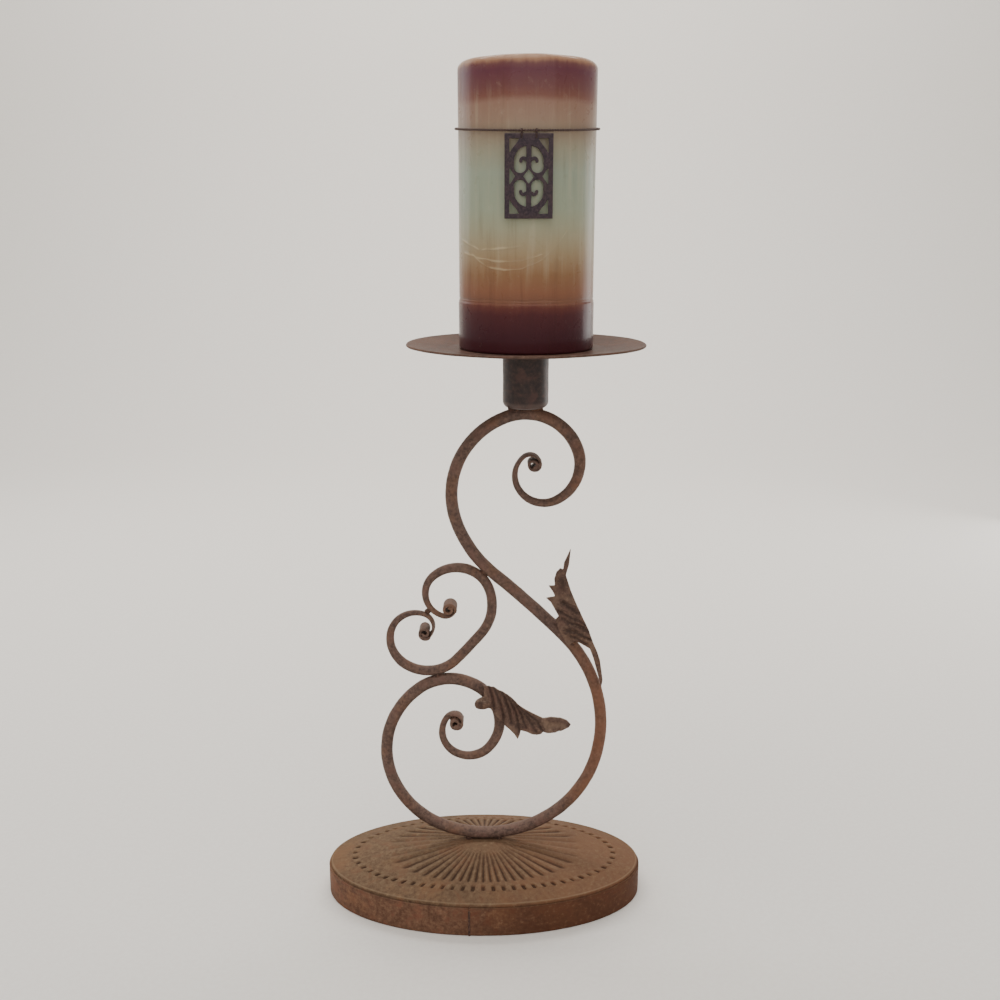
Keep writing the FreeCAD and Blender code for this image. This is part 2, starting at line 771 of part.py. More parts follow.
def build():
    parts = {}
    parts["base_skirt"] = base_skirt()
    parts["base_cover"] = base_cover()
    parts["seam_weld"] = seam_weld()

    stem_arcs = stem_path()
    heart_arcs, stem_touch, loop_touch = heart_path(stem_arcs)
    stem = scroll(stem_arcs, stem_taper_arcs, stem_tail_arcs, stem_fishtail_arcs, stem_bar, stem_tip)
    heart = scroll(heart_arcs, heart_taper_arcs, heart_tail_arcs, heart_fishtail_arcs, heart_bar, heart_tip)
    parts["main_scroll"] = stem
    parts["heart_scroll"] = heart
    parts["base_weld_left"] = wedge_weld(-weld_spacing * half, stem, cover_dome(0))
    parts["base_weld_right"] = wedge_weld(weld_spacing * half, stem, cover_dome(0))
    parts["heart_stem_weld"] = bead_between(*stem_touch, weld_radius, (stem, heart))
    parts["heart_loop_weld"] = bead_between(*loop_touch, weld_radius, (stem, heart))
    curls = nearest(path_points(heart_arcs[1:2]), path_points(heart_arcs[-2:-1]))
    parts["heart_curl_weld"] = bead_between(curls[1], curls[2], volute_weld_radius, (heart,))

    top_x, top_z = stem_top(stem_arcs)
    cup_foot = vec(top_x, 0, top_z + stem_bar * half + bar_clearance)
    parts["candle_cup"] = candle_cup(cup_foot)
    parts["cup_weld"] = cup_weld(cup_foot, stem, parts["candle_cup"])
    plate_foot = cup_foot + vec(0, 0, cup_height)
    parts["drip_plate"] = drip_plate(plate_foot)
    parts["plate_weld"] = plate_weld(plate_foot)

    upper = leaf_frame(upper_leaf_shares, upper_leaf_length, upper_leaf_angle, upper_leaf_root_shares)
    upper_blade = leaf_blade(upper, upper_leaf_shares, upper_vein_shares)
    parts["upper_leaf"] = upper_blade
    parts["upper_leaf_weld"] = leaf_weld(upper, upper_blade, upper_leaf_weld_shares, stem)
    lower = leaf_frame(lower_leaf_shares, lower_leaf_length, lower_leaf_angle, lower_leaf_root_shares)
    lower_blade = leaf_blade(lower, lower_leaf_shares, lower_vein_shares)
    lower_blade = lower_blade.cut(leaf_groove(lower, lower_hollow_shares, leaf_hollow_radius, leaf_hollow_depth))
    lower_blade = biggest(lower_blade.fuse(leaf_curl(lower, lower_curl_shares, stem)))
    parts["lower_leaf"] = lower_blade
    parts["lower_leaf_weld"] = leaf_weld(lower, lower_blade, lower_leaf_weld_shares, stem)

    candle_foot_point = plate_foot + vec(0, 0, plate_wall)
    parts["candle_body"] = candle_body(candle_foot_point)
    parts["wick"] = wick(candle_foot_point)
    parts["wick_tab"] = wick_tab(candle_foot_point)

    ring_centre = candle_foot_point + vec(0, (ring_back_gap - ring_front_gap) * half, candle_height - ring_drop)
    hinge = hinge_place(ring_centre)
    parts["ring_wire"] = ring_wire(ring_centre)
    parts["pendant"] = pendant(hinge, candle_foot_point)
    parts["hanger_left"] = hanger(hinge, candle_foot_point, -1)
    parts["hanger_right"] = hanger(hinge, candle_foot_point, 1)
    print("hinge", hinge, "ring centre", ring_centre, "candle foot", candle_foot_point)
    return parts


def export(parts):
    os.makedirs("parts", exist_ok=True)
    for name, shape in parts.items():
        shape.exportStep(os.path.join("parts", name + ".step"))
        print(name, len(shape.Solids), round(shape.Volume, 1), shape.isValid())


export(build())
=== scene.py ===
import math
import random

import bpy
import numpy as np
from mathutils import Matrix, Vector, noise


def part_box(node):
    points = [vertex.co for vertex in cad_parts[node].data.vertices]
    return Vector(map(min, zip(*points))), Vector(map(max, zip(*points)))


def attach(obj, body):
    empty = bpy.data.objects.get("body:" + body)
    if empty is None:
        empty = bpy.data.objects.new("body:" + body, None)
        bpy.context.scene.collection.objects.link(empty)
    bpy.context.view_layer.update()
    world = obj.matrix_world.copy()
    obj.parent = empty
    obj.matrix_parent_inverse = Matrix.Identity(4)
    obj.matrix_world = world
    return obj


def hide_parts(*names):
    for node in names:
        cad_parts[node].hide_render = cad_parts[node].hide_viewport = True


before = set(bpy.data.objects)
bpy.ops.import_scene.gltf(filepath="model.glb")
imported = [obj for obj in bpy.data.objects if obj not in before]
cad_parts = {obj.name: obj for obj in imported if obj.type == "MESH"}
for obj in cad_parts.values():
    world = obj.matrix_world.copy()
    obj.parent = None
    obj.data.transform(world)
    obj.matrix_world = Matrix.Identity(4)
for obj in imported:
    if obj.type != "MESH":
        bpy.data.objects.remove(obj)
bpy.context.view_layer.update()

mm = 0.001
turn = 2 * math.pi


# Numbers and noise.

def smooth(value, low, high):
    share = np.clip((np.asarray(value, float) - low) / (high - low), 0, 1)
    return share * share * (3 - 2 * share)


def rough(points, size, seed, octaves=1):
    # noise between about -1 and 1; size is how far apart its bumps lie
    offset = Vector((seed * 1.7, seed * 3.1, seed * 0.7))
    values = np.zeros(len(points))
    for octave in range(octaves):
        scale = 2 ** octave / size
        values += np.array([noise.noise(Vector(point) * scale + offset) for point in points]) / 2 ** octave
    return values


def eased(table, share):
    # a smooth curve through the rows of a table that are evenly spaced from 0 to 1
    table = np.asarray(table, float)
    last = len(table) - 1
    place = np.clip(np.asarray(share, float), 0, 1) * last
    index = np.minimum(place.astype(int), last - 1)
    part = (place - index)[:, None]
    before, start = table[np.maximum(index - 1, 0)], table[index]
    end, after = table[index + 1], table[np.minimum(index + 2, last)]
    slopeIn, slopeOut = (end - before) / 2, (after - start) / 2
    return (start * (2 * part ** 3 - 3 * part ** 2 + 1) + slopeIn * (part ** 3 - 2 * part ** 2 + part)
            + end * (3 * part ** 2 - 2 * part ** 3) + slopeOut * (part ** 3 - part ** 2))


# Meshes: shells of rings, remeshed copies, and their surface relief.

def ringMesh(name, rings, first=None, last=None, loop=False):
    # rings is rows x columns x 3; first and last are the points that close its ends
    rings = np.asarray(rings, float)
    rows, columns = rings.shape[:2]
    vertices = [tuple(point) for point in rings.reshape(-1, 3)]
    faces = []
    for row in range(rows if loop else rows - 1):
        here, there = row * columns, (row + 1) % rows * columns
        for column in range(columns):
            right = (column + 1) % columns
            faces.append((here + column, here + right, there + right, there + column))
    for point, row, flip in ((first, 0, True), (last, rows - 1, False)):
        if point is None:
            continue
        vertices.append(tuple(point))
        tip = len(vertices) - 1
        for column in range(columns):
            pair = (row * columns + column, row * columns + (column + 1) % columns)
            faces.append((pair[1], pair[0], tip) if flip else (pair[0], pair[1], tip))
    mesh = bpy.data.meshes.new(name)
    mesh.from_pydata(vertices, [], faces)
    mesh.update()
    return mesh


def remeshed(node, voxel, relaxing=2):
    # a fresh even skin over a copy of a CAD node, which itself stays as it is
    work = bpy.data.objects.new("work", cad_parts[node].data.copy())
    bpy.context.scene.collection.objects.link(work)
    skin = work.modifiers.new("Skin", "REMESH")
    skin.mode = "VOXEL"
    skin.voxel_size = voxel
    relax = work.modifiers.new("Relax", "SMOOTH")
    relax.factor = 0.5
    relax.iterations = relaxing
    bpy.context.view_layer.update()
    mesh = bpy.data.meshes.new_from_object(work.evaluated_get(bpy.context.evaluated_depsgraph_get()))
    bpy.data.objects.remove(work)
    return mesh


def places(mesh):
    values = np.empty(len(mesh.vertices) * 3)
    mesh.vertices.foreach_get("co", values)
    return values.reshape(-1, 3)


def normals(mesh):
    values = np.empty(len(mesh.vertices) * 3)
    mesh.vertices.foreach_get("normal", values)
    return values.reshape(-1, 3)


def moveTo(mesh, points):
    mesh.vertices.foreach_set("co", np.asarray(points, float).ravel())
    mesh.update()


def markHollows(mesh, depth, passes=2):
    # "hollow" is near 1 in grooves and corners, 0.5 on the flat and near 0 on edges and crests; the finishes paint
    # shade into the grooves and corners, and wear mixed with a painted highlight onto the edges
    points, outward = places(mesh), normals(mesh)
    ends = np.empty(len(mesh.edges) * 2, int)
    mesh.edges.foreach_get("vertices", ends)
    start, end = ends[0::2], ends[1::2]
    number = np.maximum(np.bincount(ends, minlength=len(points)), 1)

    def around(values):
        total = np.bincount(start, weights=values[end], minlength=len(points))
        return (total + np.bincount(end, weights=values[start], minlength=len(points))) / number

    middle = np.stack([around(points[:, axis]) for axis in range(3)], 1)
    bend = ((middle - points) * outward).sum(1)
    for step in range(passes):
        bend = (bend + around(bend)) / 2
    setHollows(mesh, 0.5 + 0.5 * np.clip(bend / depth, -1, 1))


def setHollows(mesh, values):
    mesh.attributes.new("hollow", "FLOAT", "POINT").data.foreach_set("value", values)


def addPiece(name, mesh, body, nodes, material):
    mesh.materials.clear()
    mesh.materials.append(material)
    mesh.polygons.foreach_set("use_smooth", [True] * len(mesh.polygons))
    mesh.update()
    piece = bpy.data.objects.new(name, mesh)
    bpy.context.scene.collection.objects.link(piece)
    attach(piece, body)
    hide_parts(*nodes)
    return piece


# Shader maths: a signal wraps a socket, and a paint holds the nodes of one material.

class Signal:
    def __init__(self, paint, socket):
        self.paint = paint
        self.socket = socket

    def maths(self, operation, first, second):
        return self.paint.node("ShaderNodeMath", {"operation": operation}, {0: first, 1: second})

    def __add__(self, other):
        return self.maths("ADD", self, other)

    def __radd__(self, other):
        return self.maths("ADD", other, self)

    def __sub__(self, other):
        return self.maths("SUBTRACT", self, other)

    def __rsub__(self, other):
        return self.maths("SUBTRACT", other, self)

    def __mul__(self, other):
        return self.maths("MULTIPLY", self, other)

    def __rmul__(self, other):
        return self.maths("MULTIPLY", other, self)


class Paint:
    def __init__(self, name):
        self.material = bpy.data.materials.new(name)
        self.material.use_nodes = True
        self.tree = self.material.node_tree
        self.tree.nodes.clear()
        self.place = self.node("ShaderNodeTexCoord", {}, {}, "Object")
        self.facing = self.node("ShaderNodeTexCoord", {}, {}, "Normal")

    def node(self, kind, settings, values, output=0):
        made = self.tree.nodes.new(kind)
        for name, value in settings.items():
            if name == "stops":
                self.setStops(made.color_ramp, value)
            else:
                setattr(made, name, value)
        for name, value in values.items():
            if isinstance(value, Signal):
                self.tree.links.new(value.socket, made.inputs[name])
            else:
                made.inputs[name].default_value = value
        return Signal(self, made.outputs[output])

    def setStops(self, ramp, stops):
        while len(ramp.elements) < len(stops):
            ramp.elements.new(1)
        for element, (position, colour) in zip(ramp.elements, stops):
            element.position = position
            element.color = colour

    def axis(self, vector, name):
        return self.node("ShaderNodeSeparateXYZ", {}, {"Vector": vector}, name)

    def stretched(self, sizes):
        return self.node("ShaderNodeVectorMath", {"operation": "MULTIPLY"}, {0: self.place, 1: sizes})

    def noise(self, size, detail=3, roughness=0.5, distortion=0, vector=None):
        values = {"Vector": vector or self.place, "Scale": 1 / size, "Detail": detail}
        values.update({"Roughness": roughness, "Distortion": distortion})
        return self.node("ShaderNodeTexNoise", {}, values)

    def cells(self, size):
        return self.node("ShaderNodeTexVoronoi", {}, {"Vector": self.place, "Scale": 1 / size}, "Distance")

    def step(self, value, low, high):
        return self.node("ShaderNodeMapRange", {"interpolation_type": "SMOOTHSTEP"},
                         {"Value": value, "From Min": low, "From Max": high})

    def hollow(self):
        return self.node("ShaderNodeAttribute", {"attribute_name": "hollow"}, {}, "Fac")

    def blend(self, factor, first, second):
        return self.node("ShaderNodeMix", {"data_type": "RGBA"}, {0: factor, 6: first, 7: second}, 2)

    def bump(self, height, distance, strength=1.0):
        return self.node("ShaderNodeBump", {}, {"Height": height, "Distance": distance, "Strength": strength})

    def finish(self, colour, roughness, normal, constants):
        values = {"Base Color": colour, "Roughness": roughness, "Normal": normal, **constants}
        surface = self.node("ShaderNodeBsdfPrincipled", {}, values)
        output = self.tree.nodes.new("ShaderNodeOutputMaterial")
        self.tree.links.new(surface.socket, output.inputs["Surface"])
        return self.material


def tint(red, green, blue):
    # a colour as it looks on a screen, 0 to 255, turned into light
    shares = [value / 255 for value in (red, green, blue)]
    return (*[share / 12.92 if share < 0.04 else ((share + 0.055) / 1.055) ** 2.4 for share in shares], 1)


# Finishes of the ironwork.

barRust = {
    "dark": tint(74, 57, 51), "brown": tint(115, 91, 80), "light": tint(148, 126, 110),
    "red": tint(104, 72, 64), "rust": tint(134, 92, 60), "deep": tint(36, 26, 22), "dust": tint(146, 126, 108),
    "patch": 34 * mm, "blotch": 11 * mm, "mottle": 2.6 * mm, "grain": 0.42 * mm, "flake": 1.3 * mm,
    "redAmount": 0.4, "rustAmount": 0.25, "lightAmount": 0.55, "dustAndTopLightAmount": 0.42, "hollowShadeAmount": 0.75,
    "underShadeAmount": 0.45, "roughness": 0.55, "metallic": 0.0, "shine": 0.22, "relief": 0.14 * mm,
}


def ironFinish(name, look, side=None):
    paint = Paint(name)
    patch = paint.noise(look["patch"], 3, 0.55)
    blotch = paint.noise(look["blotch"], 4, 0.6, 0.6)
    mottle = paint.noise(look["mottle"], 6, 0.66)
    grain = paint.noise(look["grain"], 3, 0.6)
    flakes = paint.cells(look["flake"])
    hollow = paint.hollow()
    up = paint.axis(paint.facing, "Z")
    colour = paint.blend(paint.step(mottle + blotch * 0.5, 0.5, 0.98), look["dark"], look["brown"])
    colour = paint.blend(paint.step(blotch, 0.5, 0.64) * look["redAmount"], colour, look["red"])
    colour = paint.blend(paint.step(patch + mottle * 0.3, 0.66, 0.82) * look["rustAmount"], colour, look["rust"])
    if side:
        across = paint.axis(paint.place, "X") + (blotch - 0.5) * side["waver"]
        along = paint.step(across, side["left"], side["right"])
        colour = paint.blend(along * side["amount"], colour, side["colour"])
    colour = paint.blend(paint.step(mottle, 0.54, 0.8) * look["lightAmount"], colour, look["light"])
    # upward-facing surfaces turn pale: partly settled dust, partly a painted highlight where light falls from
    # above
    settledAndLit = paint.step(up + (mottle - 0.5) * 1.2, 0.35, 1.1)
    colour = paint.blend(settledAndLit * look["dustAndTopLightAmount"], colour, look["dust"])
    # downward-facing surfaces are darkened: painted shade from light falling from above
    colour = paint.blend(paint.step(0 - up, 0.1, 0.95) * look["underShadeAmount"], colour, look["deep"])
    # grooves, creases and corners are darkened: painted shade
    colour = paint.blend(paint.step(hollow, 0.54, 0.86) * look["hollowShadeAmount"], colour, look["deep"])
    # convex edges and crests turn pale: partly wear, partly a painted highlight
    colour = paint.blend(paint.step(1 - hollow, 0.56, 0.9) * look["lightAmount"] * 0.7, colour, look["light"])
    colour = paint.blend(paint.step(grain, 0.58, 0.8) * 0.28, colour, look["deep"])
    height = mottle * 0.5 + grain * 0.32 + paint.step(flakes, 0.0, 0.5) * 0.18
    roughness = look["roughness"] + (mottle - 0.5) * 0.5 + grain * 0.12
    constants = {"Metallic": look["metallic"], "Specular IOR Level": look["shine"]}
    return paint.finish(colour, roughness, paint.bump(height, look["relief"], 0.9), constants)


rustyRight = {"colour": tint(136, 86, 56), "left": 60 * mm, "right": 105 * mm, "waver": 40 * mm, "amount": 0.5}
scrollRust = dict(barRust)
scrollRust.update({"light": tint(134, 108, 92), "dust": tint(112, 86, 72), "lightAmount": 0.46})
barIron = ironFinish("barIron", scrollRust, rustyRight)
print("ironwork finishes ready")


# Base: the pressed oval cover.

cover = {
    # from rim to middle: length share, width share, rise share
    "stations": [(1.0, 1.0, 0.0), (0.92, 0.90, 0.13), (0.80, 0.80, 0.27), (0.60, 0.68, 0.45),
                 (0.40, 0.48, 0.66), (0.17, 0.27, 0.90), (0.12, 0.17, 0.97), (0.06, 0.09, 1.0)],
    "edge": 2.0 * mm, "wall": 2.0 * mm, "rows": 190, "columns": 960,
    "flutes": 48, "fluteDepth": 1.6 * mm, "fluteFrom": 0.17, "fluteTo": 0.67,
    "punches": 64, "punchShares": (0.843, 0.785), "punchLength": 5.2 * mm, "punchDepth": 1.3 * mm,
    "shallowest": 0.72, "rope": 0.5 * mm, "rimWidth": 2.2 * mm, "rimHeight": 0.35 * mm, "unevenness": 0.3 * mm,
    "underRows": 40, "edgeRows": 6,
}


def coverMesh(look):
    low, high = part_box("base_cover")
    halfLength, halfWidth = (high.x - low.x) / 2, (high.y - low.y) / 2
    foot = low.z + look["edge"]
    rise = high.z - foot
    angles = np.arange(look["columns"]) / look["columns"] * turn
    cosine, sine = np.cos(angles), np.sin(angles)

    def ray(lengthShare, widthShare):
        long, short = halfLength * lengthShare, halfWidth * widthShare
        return long * short / np.hypot(short * cosine, long * sine)

    # each punch mark sits an even step along its oval
    around = ray(*look["punchShares"])
    path = np.stack([around * cosine, around * sine], 1)
    steps = np.linalg.norm(np.roll(path, -1, 0) - path, axis=1)
    phase = np.concatenate([[0], np.cumsum(steps)[:-1]]) / steps.sum() * look["punches"]
    picker = random.Random(5)
    depths = [picker.uniform(look["shallowest"], 1.0) for mark in range(look["punches"])]
    depthHere = np.array([depths[int(round(value)) % look["punches"]] for value in phase])
    across = smooth(np.cos(phase * turn), -0.1, 0.95) * depthHere
    flute = (0.5 + 0.5 * np.cos(angles * look["flutes"])) ** 1.4
    fade = 0.4 + 0.6 * smooth(abs(sine), 0.02, 0.5)

    stations = np.asarray(look["stations"])
    shares = eased(stations, np.linspace(0, 1, look["rows"]))
    top, hollows = [], []
    inner, outer = look["fluteFrom"], look["fluteTo"]
    for lengthShare, widthShare, riseShare in shares:
        reach = ray(lengthShare, widthShare)
        height = np.full(look["columns"], foot + rise * riseShare)
        inside = smooth(lengthShare, inner - 0.03, inner + 0.06) * (1 - smooth(lengthShare, outer - 0.08, outer))
        grown = 0.45 + 0.55 * (lengthShare - inner) / (outer - inner)
        groove = inside * grown * fade
        off = abs(reach - around) / (look["punchLength"] / 2)
        pit = (1 - smooth(off, 0.35, 1.15)) * across
        rope = (1 - smooth(off, 0.5, 1.5)) * (1 - across)
        height += look["rope"] * rope - look["punchDepth"] * pit - look["fluteDepth"] * groove * flute
        fromRim = ray(1, 1) - reach
        lip = smooth(fromRim, 0, 0.8 * mm) - smooth(fromRim, look["rimWidth"] * 0.6, look["rimWidth"])
        height += look["rimHeight"] * lip
        # painted shade in the flute grooves and punch marks, and a painted highlight on the flute ridges, the
        # raised rope and the rim lip
        hollows.append(0.5 + 0.34 * groove * (2 * flute - 0.8) + 0.5 * pit - 0.2 * rope - 0.3 * lip)
        top.append(np.stack([reach * cosine, reach * sine, height], 1))
    rim = ray(1, 1)
    edgeRows = []
    for step in range(1, look["edgeRows"] + 1):
        height = foot - look["edge"] * step / look["edgeRows"]
        edgeRows.append(np.stack([rim * cosine, rim * sine, np.full(len(rim), height)], 1))
    under = []
    for lengthShare, widthShare, riseShare in eased(stations, np.linspace(0, 1, look["underRows"])):
        reach = ray(lengthShare, widthShare) - look["wall"] * lengthShare
        height = np.full(len(rim), foot + rise * riseShare - look["wall"])
        under.append(np.stack([reach * cosine, reach * sine, height], 1))
    # the rings run from the middle of the top, over the rim, to the middle of the underside
    rings = np.array(top[::-1] + edgeRows + under)
    topPoint = (0, 0, foot + rise)
    mesh = ringMesh("baseCover", rings, topPoint, (0, 0, foot + rise - look["wall"]))
    points = places(mesh)
    uneven = rough(points, 26 * mm, 3, 2) * look["unevenness"]
    uneven += rough(points, 4 * mm, 8) * look["unevenness"] * 0.3
    # the rim and the middle keep their height
    level = points[:, 2]
    free = smooth(level, foot - 0.5 * mm, foot + 2 * mm) * smooth(foot + rise - level, 0, 2.5 * mm)
    points[:, 2] -= abs(uneven) * free
    moveTo(mesh, points)
    mesh.flip_normals()
    marked = np.array(hollows[::-1]).ravel()
    setHollows(mesh, np.concatenate([marked, np.full(len(points) - len(marked), 0.5)]))
    return mesh


baseRust = dict(barRust)
baseRust.update({
    "dark": tint(82, 61, 47), "brown": tint(112, 90, 70), "light": tint(142, 122, 96), "red": tint(104, 70, 52),
    "rust": tint(123, 88, 61), "deep": tint(46, 30, 23), "dust": tint(122, 101, 78),
    "patch": 48 * mm, "blotch": 15 * mm, "mottle": 3.2 * mm, "grain": 0.55 * mm, "flake": 1.8 * mm,
    "redAmount": 0.6, "rustAmount": 0.5, "dustAndTopLightAmount": 0.3, "roughness": 0.7, "shine": 0.12, "relief": 0.32 * mm,
})
yellowToRed = {"colour": tint(108, 71, 52), "left": -70 * mm, "right": 100 * mm, "waver": 120 * mm, "amount": 0.6}
baseIron = ironFinish("baseIron", baseRust, yellowToRed)

addPiece("baseCoverPressed", coverMesh(cover), "stand", ["base_cover"], baseIron)
print("base cover pressed")


# Base: the skirt, an oval hoop of strip with its seam.

skirt = {
    "wall": 3.0 * mm, "corner": 0.9 * mm, "seam": -11.0 * mm, "gap": 0.4 * mm, "columns": 620, "faceRows": 26,
    "unevenness": 0.16 * mm, "score": 20.6 * mm, "scoreDepth": 0.12 * mm, "hollow": 0.14 * mm,
}


def skirtMesh(look):
    low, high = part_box("base_skirt")
    halfLength, halfWidth, tall = high.x, high.y, high.z
    corner, wall = look["corner"], look["wall"]
    profile = []      # how far in from the outer face, and how high
    corners = ((corner, corner, 180), (wall - corner, corner, 270), (wall - corner, tall - corner, 0),
               (corner, tall - corner, 90))
    for inward, height, start in corners:
        for step in range(5):
            angle = math.radians(start + step * 22.5)
            profile.append((inward + corner * math.cos(angle), height + corner * math.sin(angle)))
    for step in range(look["faceRows"] - 1, 0, -1):
        profile.append((0, corner + (tall - 2 * corner) * step / look["faceRows"]))
    middle = -math.acos(look["seam"] / halfLength)
    halfGap = look["gap"] / 2 / halfLength
    start, end = middle + halfGap, middle + turn - halfGap
    # a narrow column at each end keeps the cut of the strip square
    angles = np.concatenate([[start, start + halfGap], np.linspace(start, end, look["columns"])[1:-1],
                             [end - halfGap, end]])
    across = np.stack([np.cos(angles) / halfLength, np.sin(angles) / halfWidth], 1)
    across /= np.linalg.norm(across, axis=1)[:, None]
    rings = []
    for inward, height in profile:
        x = halfLength * np.cos(angles) - across[:, 0] * inward
        y = halfWidth * np.sin(angles) - across[:, 1] * inward
        rings.append(np.stack([x, y, np.full(len(x), height)], 1))
    rings = np.array(rings).transpose(1, 0, 2)
    mesh = bpy.data.meshes.new("baseSkirt")
    columns, around = rings.shape[:2]
    faces = []
    for column in range(columns - 1):
        for step in range(around):
            nextStep = (step + 1) % around
            here, there = column * around, (column + 1) * around
            faces.append((here + step, there + step, there + nextStep, here + nextStep))
    faces.append(tuple(range(around)))
    faces.append(tuple(range(columns * around - 1, (columns - 1) * around - 1, -1)))
    mesh.from_pydata([tuple(point) for point in rings.reshape(-1, 3)], [], faces)
    mesh.update()
    points = places(mesh)
    outward = np.stack([points[:, 0] / halfLength ** 2, points[:, 1] / halfWidth ** 2], 1)
    outward /= np.linalg.norm(outward, axis=1)[:, None]
    inward = abs(rough(points, 18 * mm, 12, 2)) * look["unevenness"]
    inward += abs(rough(points, 3 * mm, 15)) * look["unevenness"] * 0.5
    inward += look["scoreDepth"] * (1 - smooth(abs(points[:, 2] - look["score"]), 0.1 * mm, 0.9 * mm))
    points[:, :2] -= outward * inward[:, None]
    points[:, 2] = np.maximum(points[:, 2], 0)
    moveTo(mesh, points)
    return mesh


skirtRust = dict(baseRust)
skirtRust.update({
    "dark": tint(84, 58, 45), "brown": tint(122, 90, 71), "light": tint(142, 112, 88), "red": tint(116, 74, 58),
    "rust": tint(134, 93, 67), "dustAndTopLightAmount": 0.2, "redAmount": 0.7, "roughness": 0.6,
})
skirtPiece = skirtMesh(skirt)
markHollows(skirtPiece, skirt["hollow"])
darkRight = {"colour": tint(76, 44, 28), "left": -40 * mm, "right": 50 * mm, "waver": 100 * mm, "amount": 0.75}
skirtIron = ironFinish("skirtIron", skirtRust, darkRight)
addPiece("baseSkirtHoop", skirtPiece, "stand", ["base_skirt"], skirtIron)
print("skirt bent")


# Scrolls: forged bars, drawn out and rolled at their tips.

bars = {"mainVoxel": 0.5 * mm, "heartVoxel": 0.4 * mm, "relaxing": 2, "dents": 0.17 * mm, "dentSize": 9 * mm,
        "scale": 0.05 * mm, "scaleSize": 1.6 * mm, "hollow": 0.10 * mm}


def forgedBar(node, voxel, seed, look):
    mesh = remeshed(node, voxel, look["relaxing"])
    points, outward = places(mesh), normals(mesh)
    dent = rough(points, look["dentSize"], seed) * look["dents"]
    dent += rough(points, look["scaleSize"], seed + 4) * look["scale"]
    moveTo(mesh, points + outward * (dent + 0.3 * look["dents"])[:, None])
    markHollows(mesh, look["hollow"], 3)
    return mesh


mainBar = forgedBar("main_scroll", bars["mainVoxel"], 21, bars)
addPiece("mainScrollForged", mainBar, "stand", ["main_scroll"], barIron)
heartBar = forgedBar("heart_scroll", bars["heartVoxel"], 34, bars)
addPiece("heartScrollForged", heartBar, "stand", ["heart_scroll"], barIron)
print("scrolls forged")


# Weld beads.

welds = {"voxel": 0.28 * mm, "lumps": 0.45 * mm, "lumpSize": 1.5 * mm, "grain": 0.12 * mm, "grainSize": 0.6 * mm,
         "hollow": 0.05 * mm}
weldRust = dict(barRust)
weldRust.update({"dark": tint(44, 31, 27), "brown": tint(84, 58, 48), "light": tint(116, 88, 72),
                 "blotch": 5 * mm, "mottle": 1.2 * mm, "relief": 0.2 * mm, "dustAndTopLightAmount": 0.3})
weldIron = ironFinish("weldIron", weldRust)


def weldBead(node, seed, look):
    mesh = remeshed(node, look["voxel"], 3)
    points, outward = places(mesh), normals(mesh)
    lump = rough(points, look["lumpSize"], seed) * look["lumps"]
    lump += rough(points, look["grainSize"], seed + 9) * look["grain"]
    points += outward * lump[:, None]
    points[:, 2] = np.maximum(points[:, 2], 0)
    moveTo(mesh, points)
    markHollows(mesh, look["hollow"], 1)
    return mesh


beads = ["base_weld_left", "base_weld_right", "heart_stem_weld", "heart_loop_weld", "heart_curl_weld", "cup_weld",
         "upper_leaf_weld", "lower_leaf_weld"]
for number, bead in enumerate(beads):
    words = bead.split("_")
    pieceName = words[0] + "".join(word.capitalize() for word in words[1:])
    addPiece(pieceName, weldBead(bead, 50 + number, welds), "stand", [bead], weldIron)
seamBead = dict(welds)
seamBead.update({"lumps": 0.25 * mm, "lumpSize": 2.2 * mm})
addPiece("seamWeld", weldBead("seam_weld", 70, seamBead), "stand", ["seam_weld"], weldIron)
addPiece("plateWeld", weldBead("plate_weld", 74, seamBead), "stand", ["plate_weld"], weldIron)
print("welds laid")


# Acanthus leaves: petals between creases, a curled edge and a boat-shaped tip.

leaves = {
    # creases, boat and knob run through places in shares of the length: along the leaf, and to its left
    "upper": {"node": "upper_leaf", "voxel": 0.38 * mm, "root": (95.6 * mm, 187.44 * mm), "angle": 102.6,
              "length": 121.0 * mm, "side": 1, "curlFrom": 0.15, "curl": 2.4 * mm, "seed": 81,
              "creases": [[(0.55, 0.04), (0.595, 0.09), (0.65, 0.135)],
                          [(0.46, 0.02), (0.515, 0.07), (0.595, 0.17)],
                          [(0.405, 0.0), (0.45, 0.05), (0.50, 0.115), (0.54, 0.155)],
                          [(0.345, 0.0), (0.39, 0.045), (0.43, 0.095), (0.45, 0.15)],
                          [(0.325, 0.04), (0.375, 0.08), (0.405, 0.125)]],
              "petal": 4.2 * mm, "depth": 1.5 * mm, "boat": [(0.72, 0.115), (0.80, 0.10)],
              "boatReach": 6.0 * mm, "boatDepth": -1.4 * mm, "boatShade": 0.26,
              "knob": [(0.507, 0.19), (0.507, 0.191)], "swell": 0.0, "knobShade": 0.22},
    "lower": {"node": "lower_leaf", "voxel": 0.38 * mm, "root": (-0.88 * mm, 199.12 * mm), "angle": -31.9,
              "length": 85.5 * mm, "side": -1, "curlFrom": 0.24, "curl": 1.6 * mm, "seed": 87,
              "creases": [[(0.12, -0.07), (0.215, -0.155), (0.28, -0.235)],
                          [(0.16, -0.05), (0.31, -0.165), (0.40, -0.255), (0.45, -0.335)],
                          [(0.26, -0.055), (0.40, -0.16), (0.50, -0.275)],
                          [(0.315, -0.06), (0.475, -0.155), (0.61, -0.31)],
                          [(0.39, -0.075), (0.52, -0.14), (0.64, -0.24)],
                          [(0.46, -0.09), (0.625, -0.155), (0.755, -0.23)],
                          [(0.56, -0.11), (0.695, -0.127), (0.80, -0.19)]],
              "petal": 3.6 * mm, "depth": 1.25 * mm, "boat": [(0.80, -0.11), (0.94, -0.045)],
              "boatReach": 4.6 * mm, "boatDepth": 0.7 * mm, "boatShade": -0.38,
              "knob": [(0.16, -0.24), (0.16, -0.239)], "swell": 2.5 * mm, "knobShade": 0.3},
}


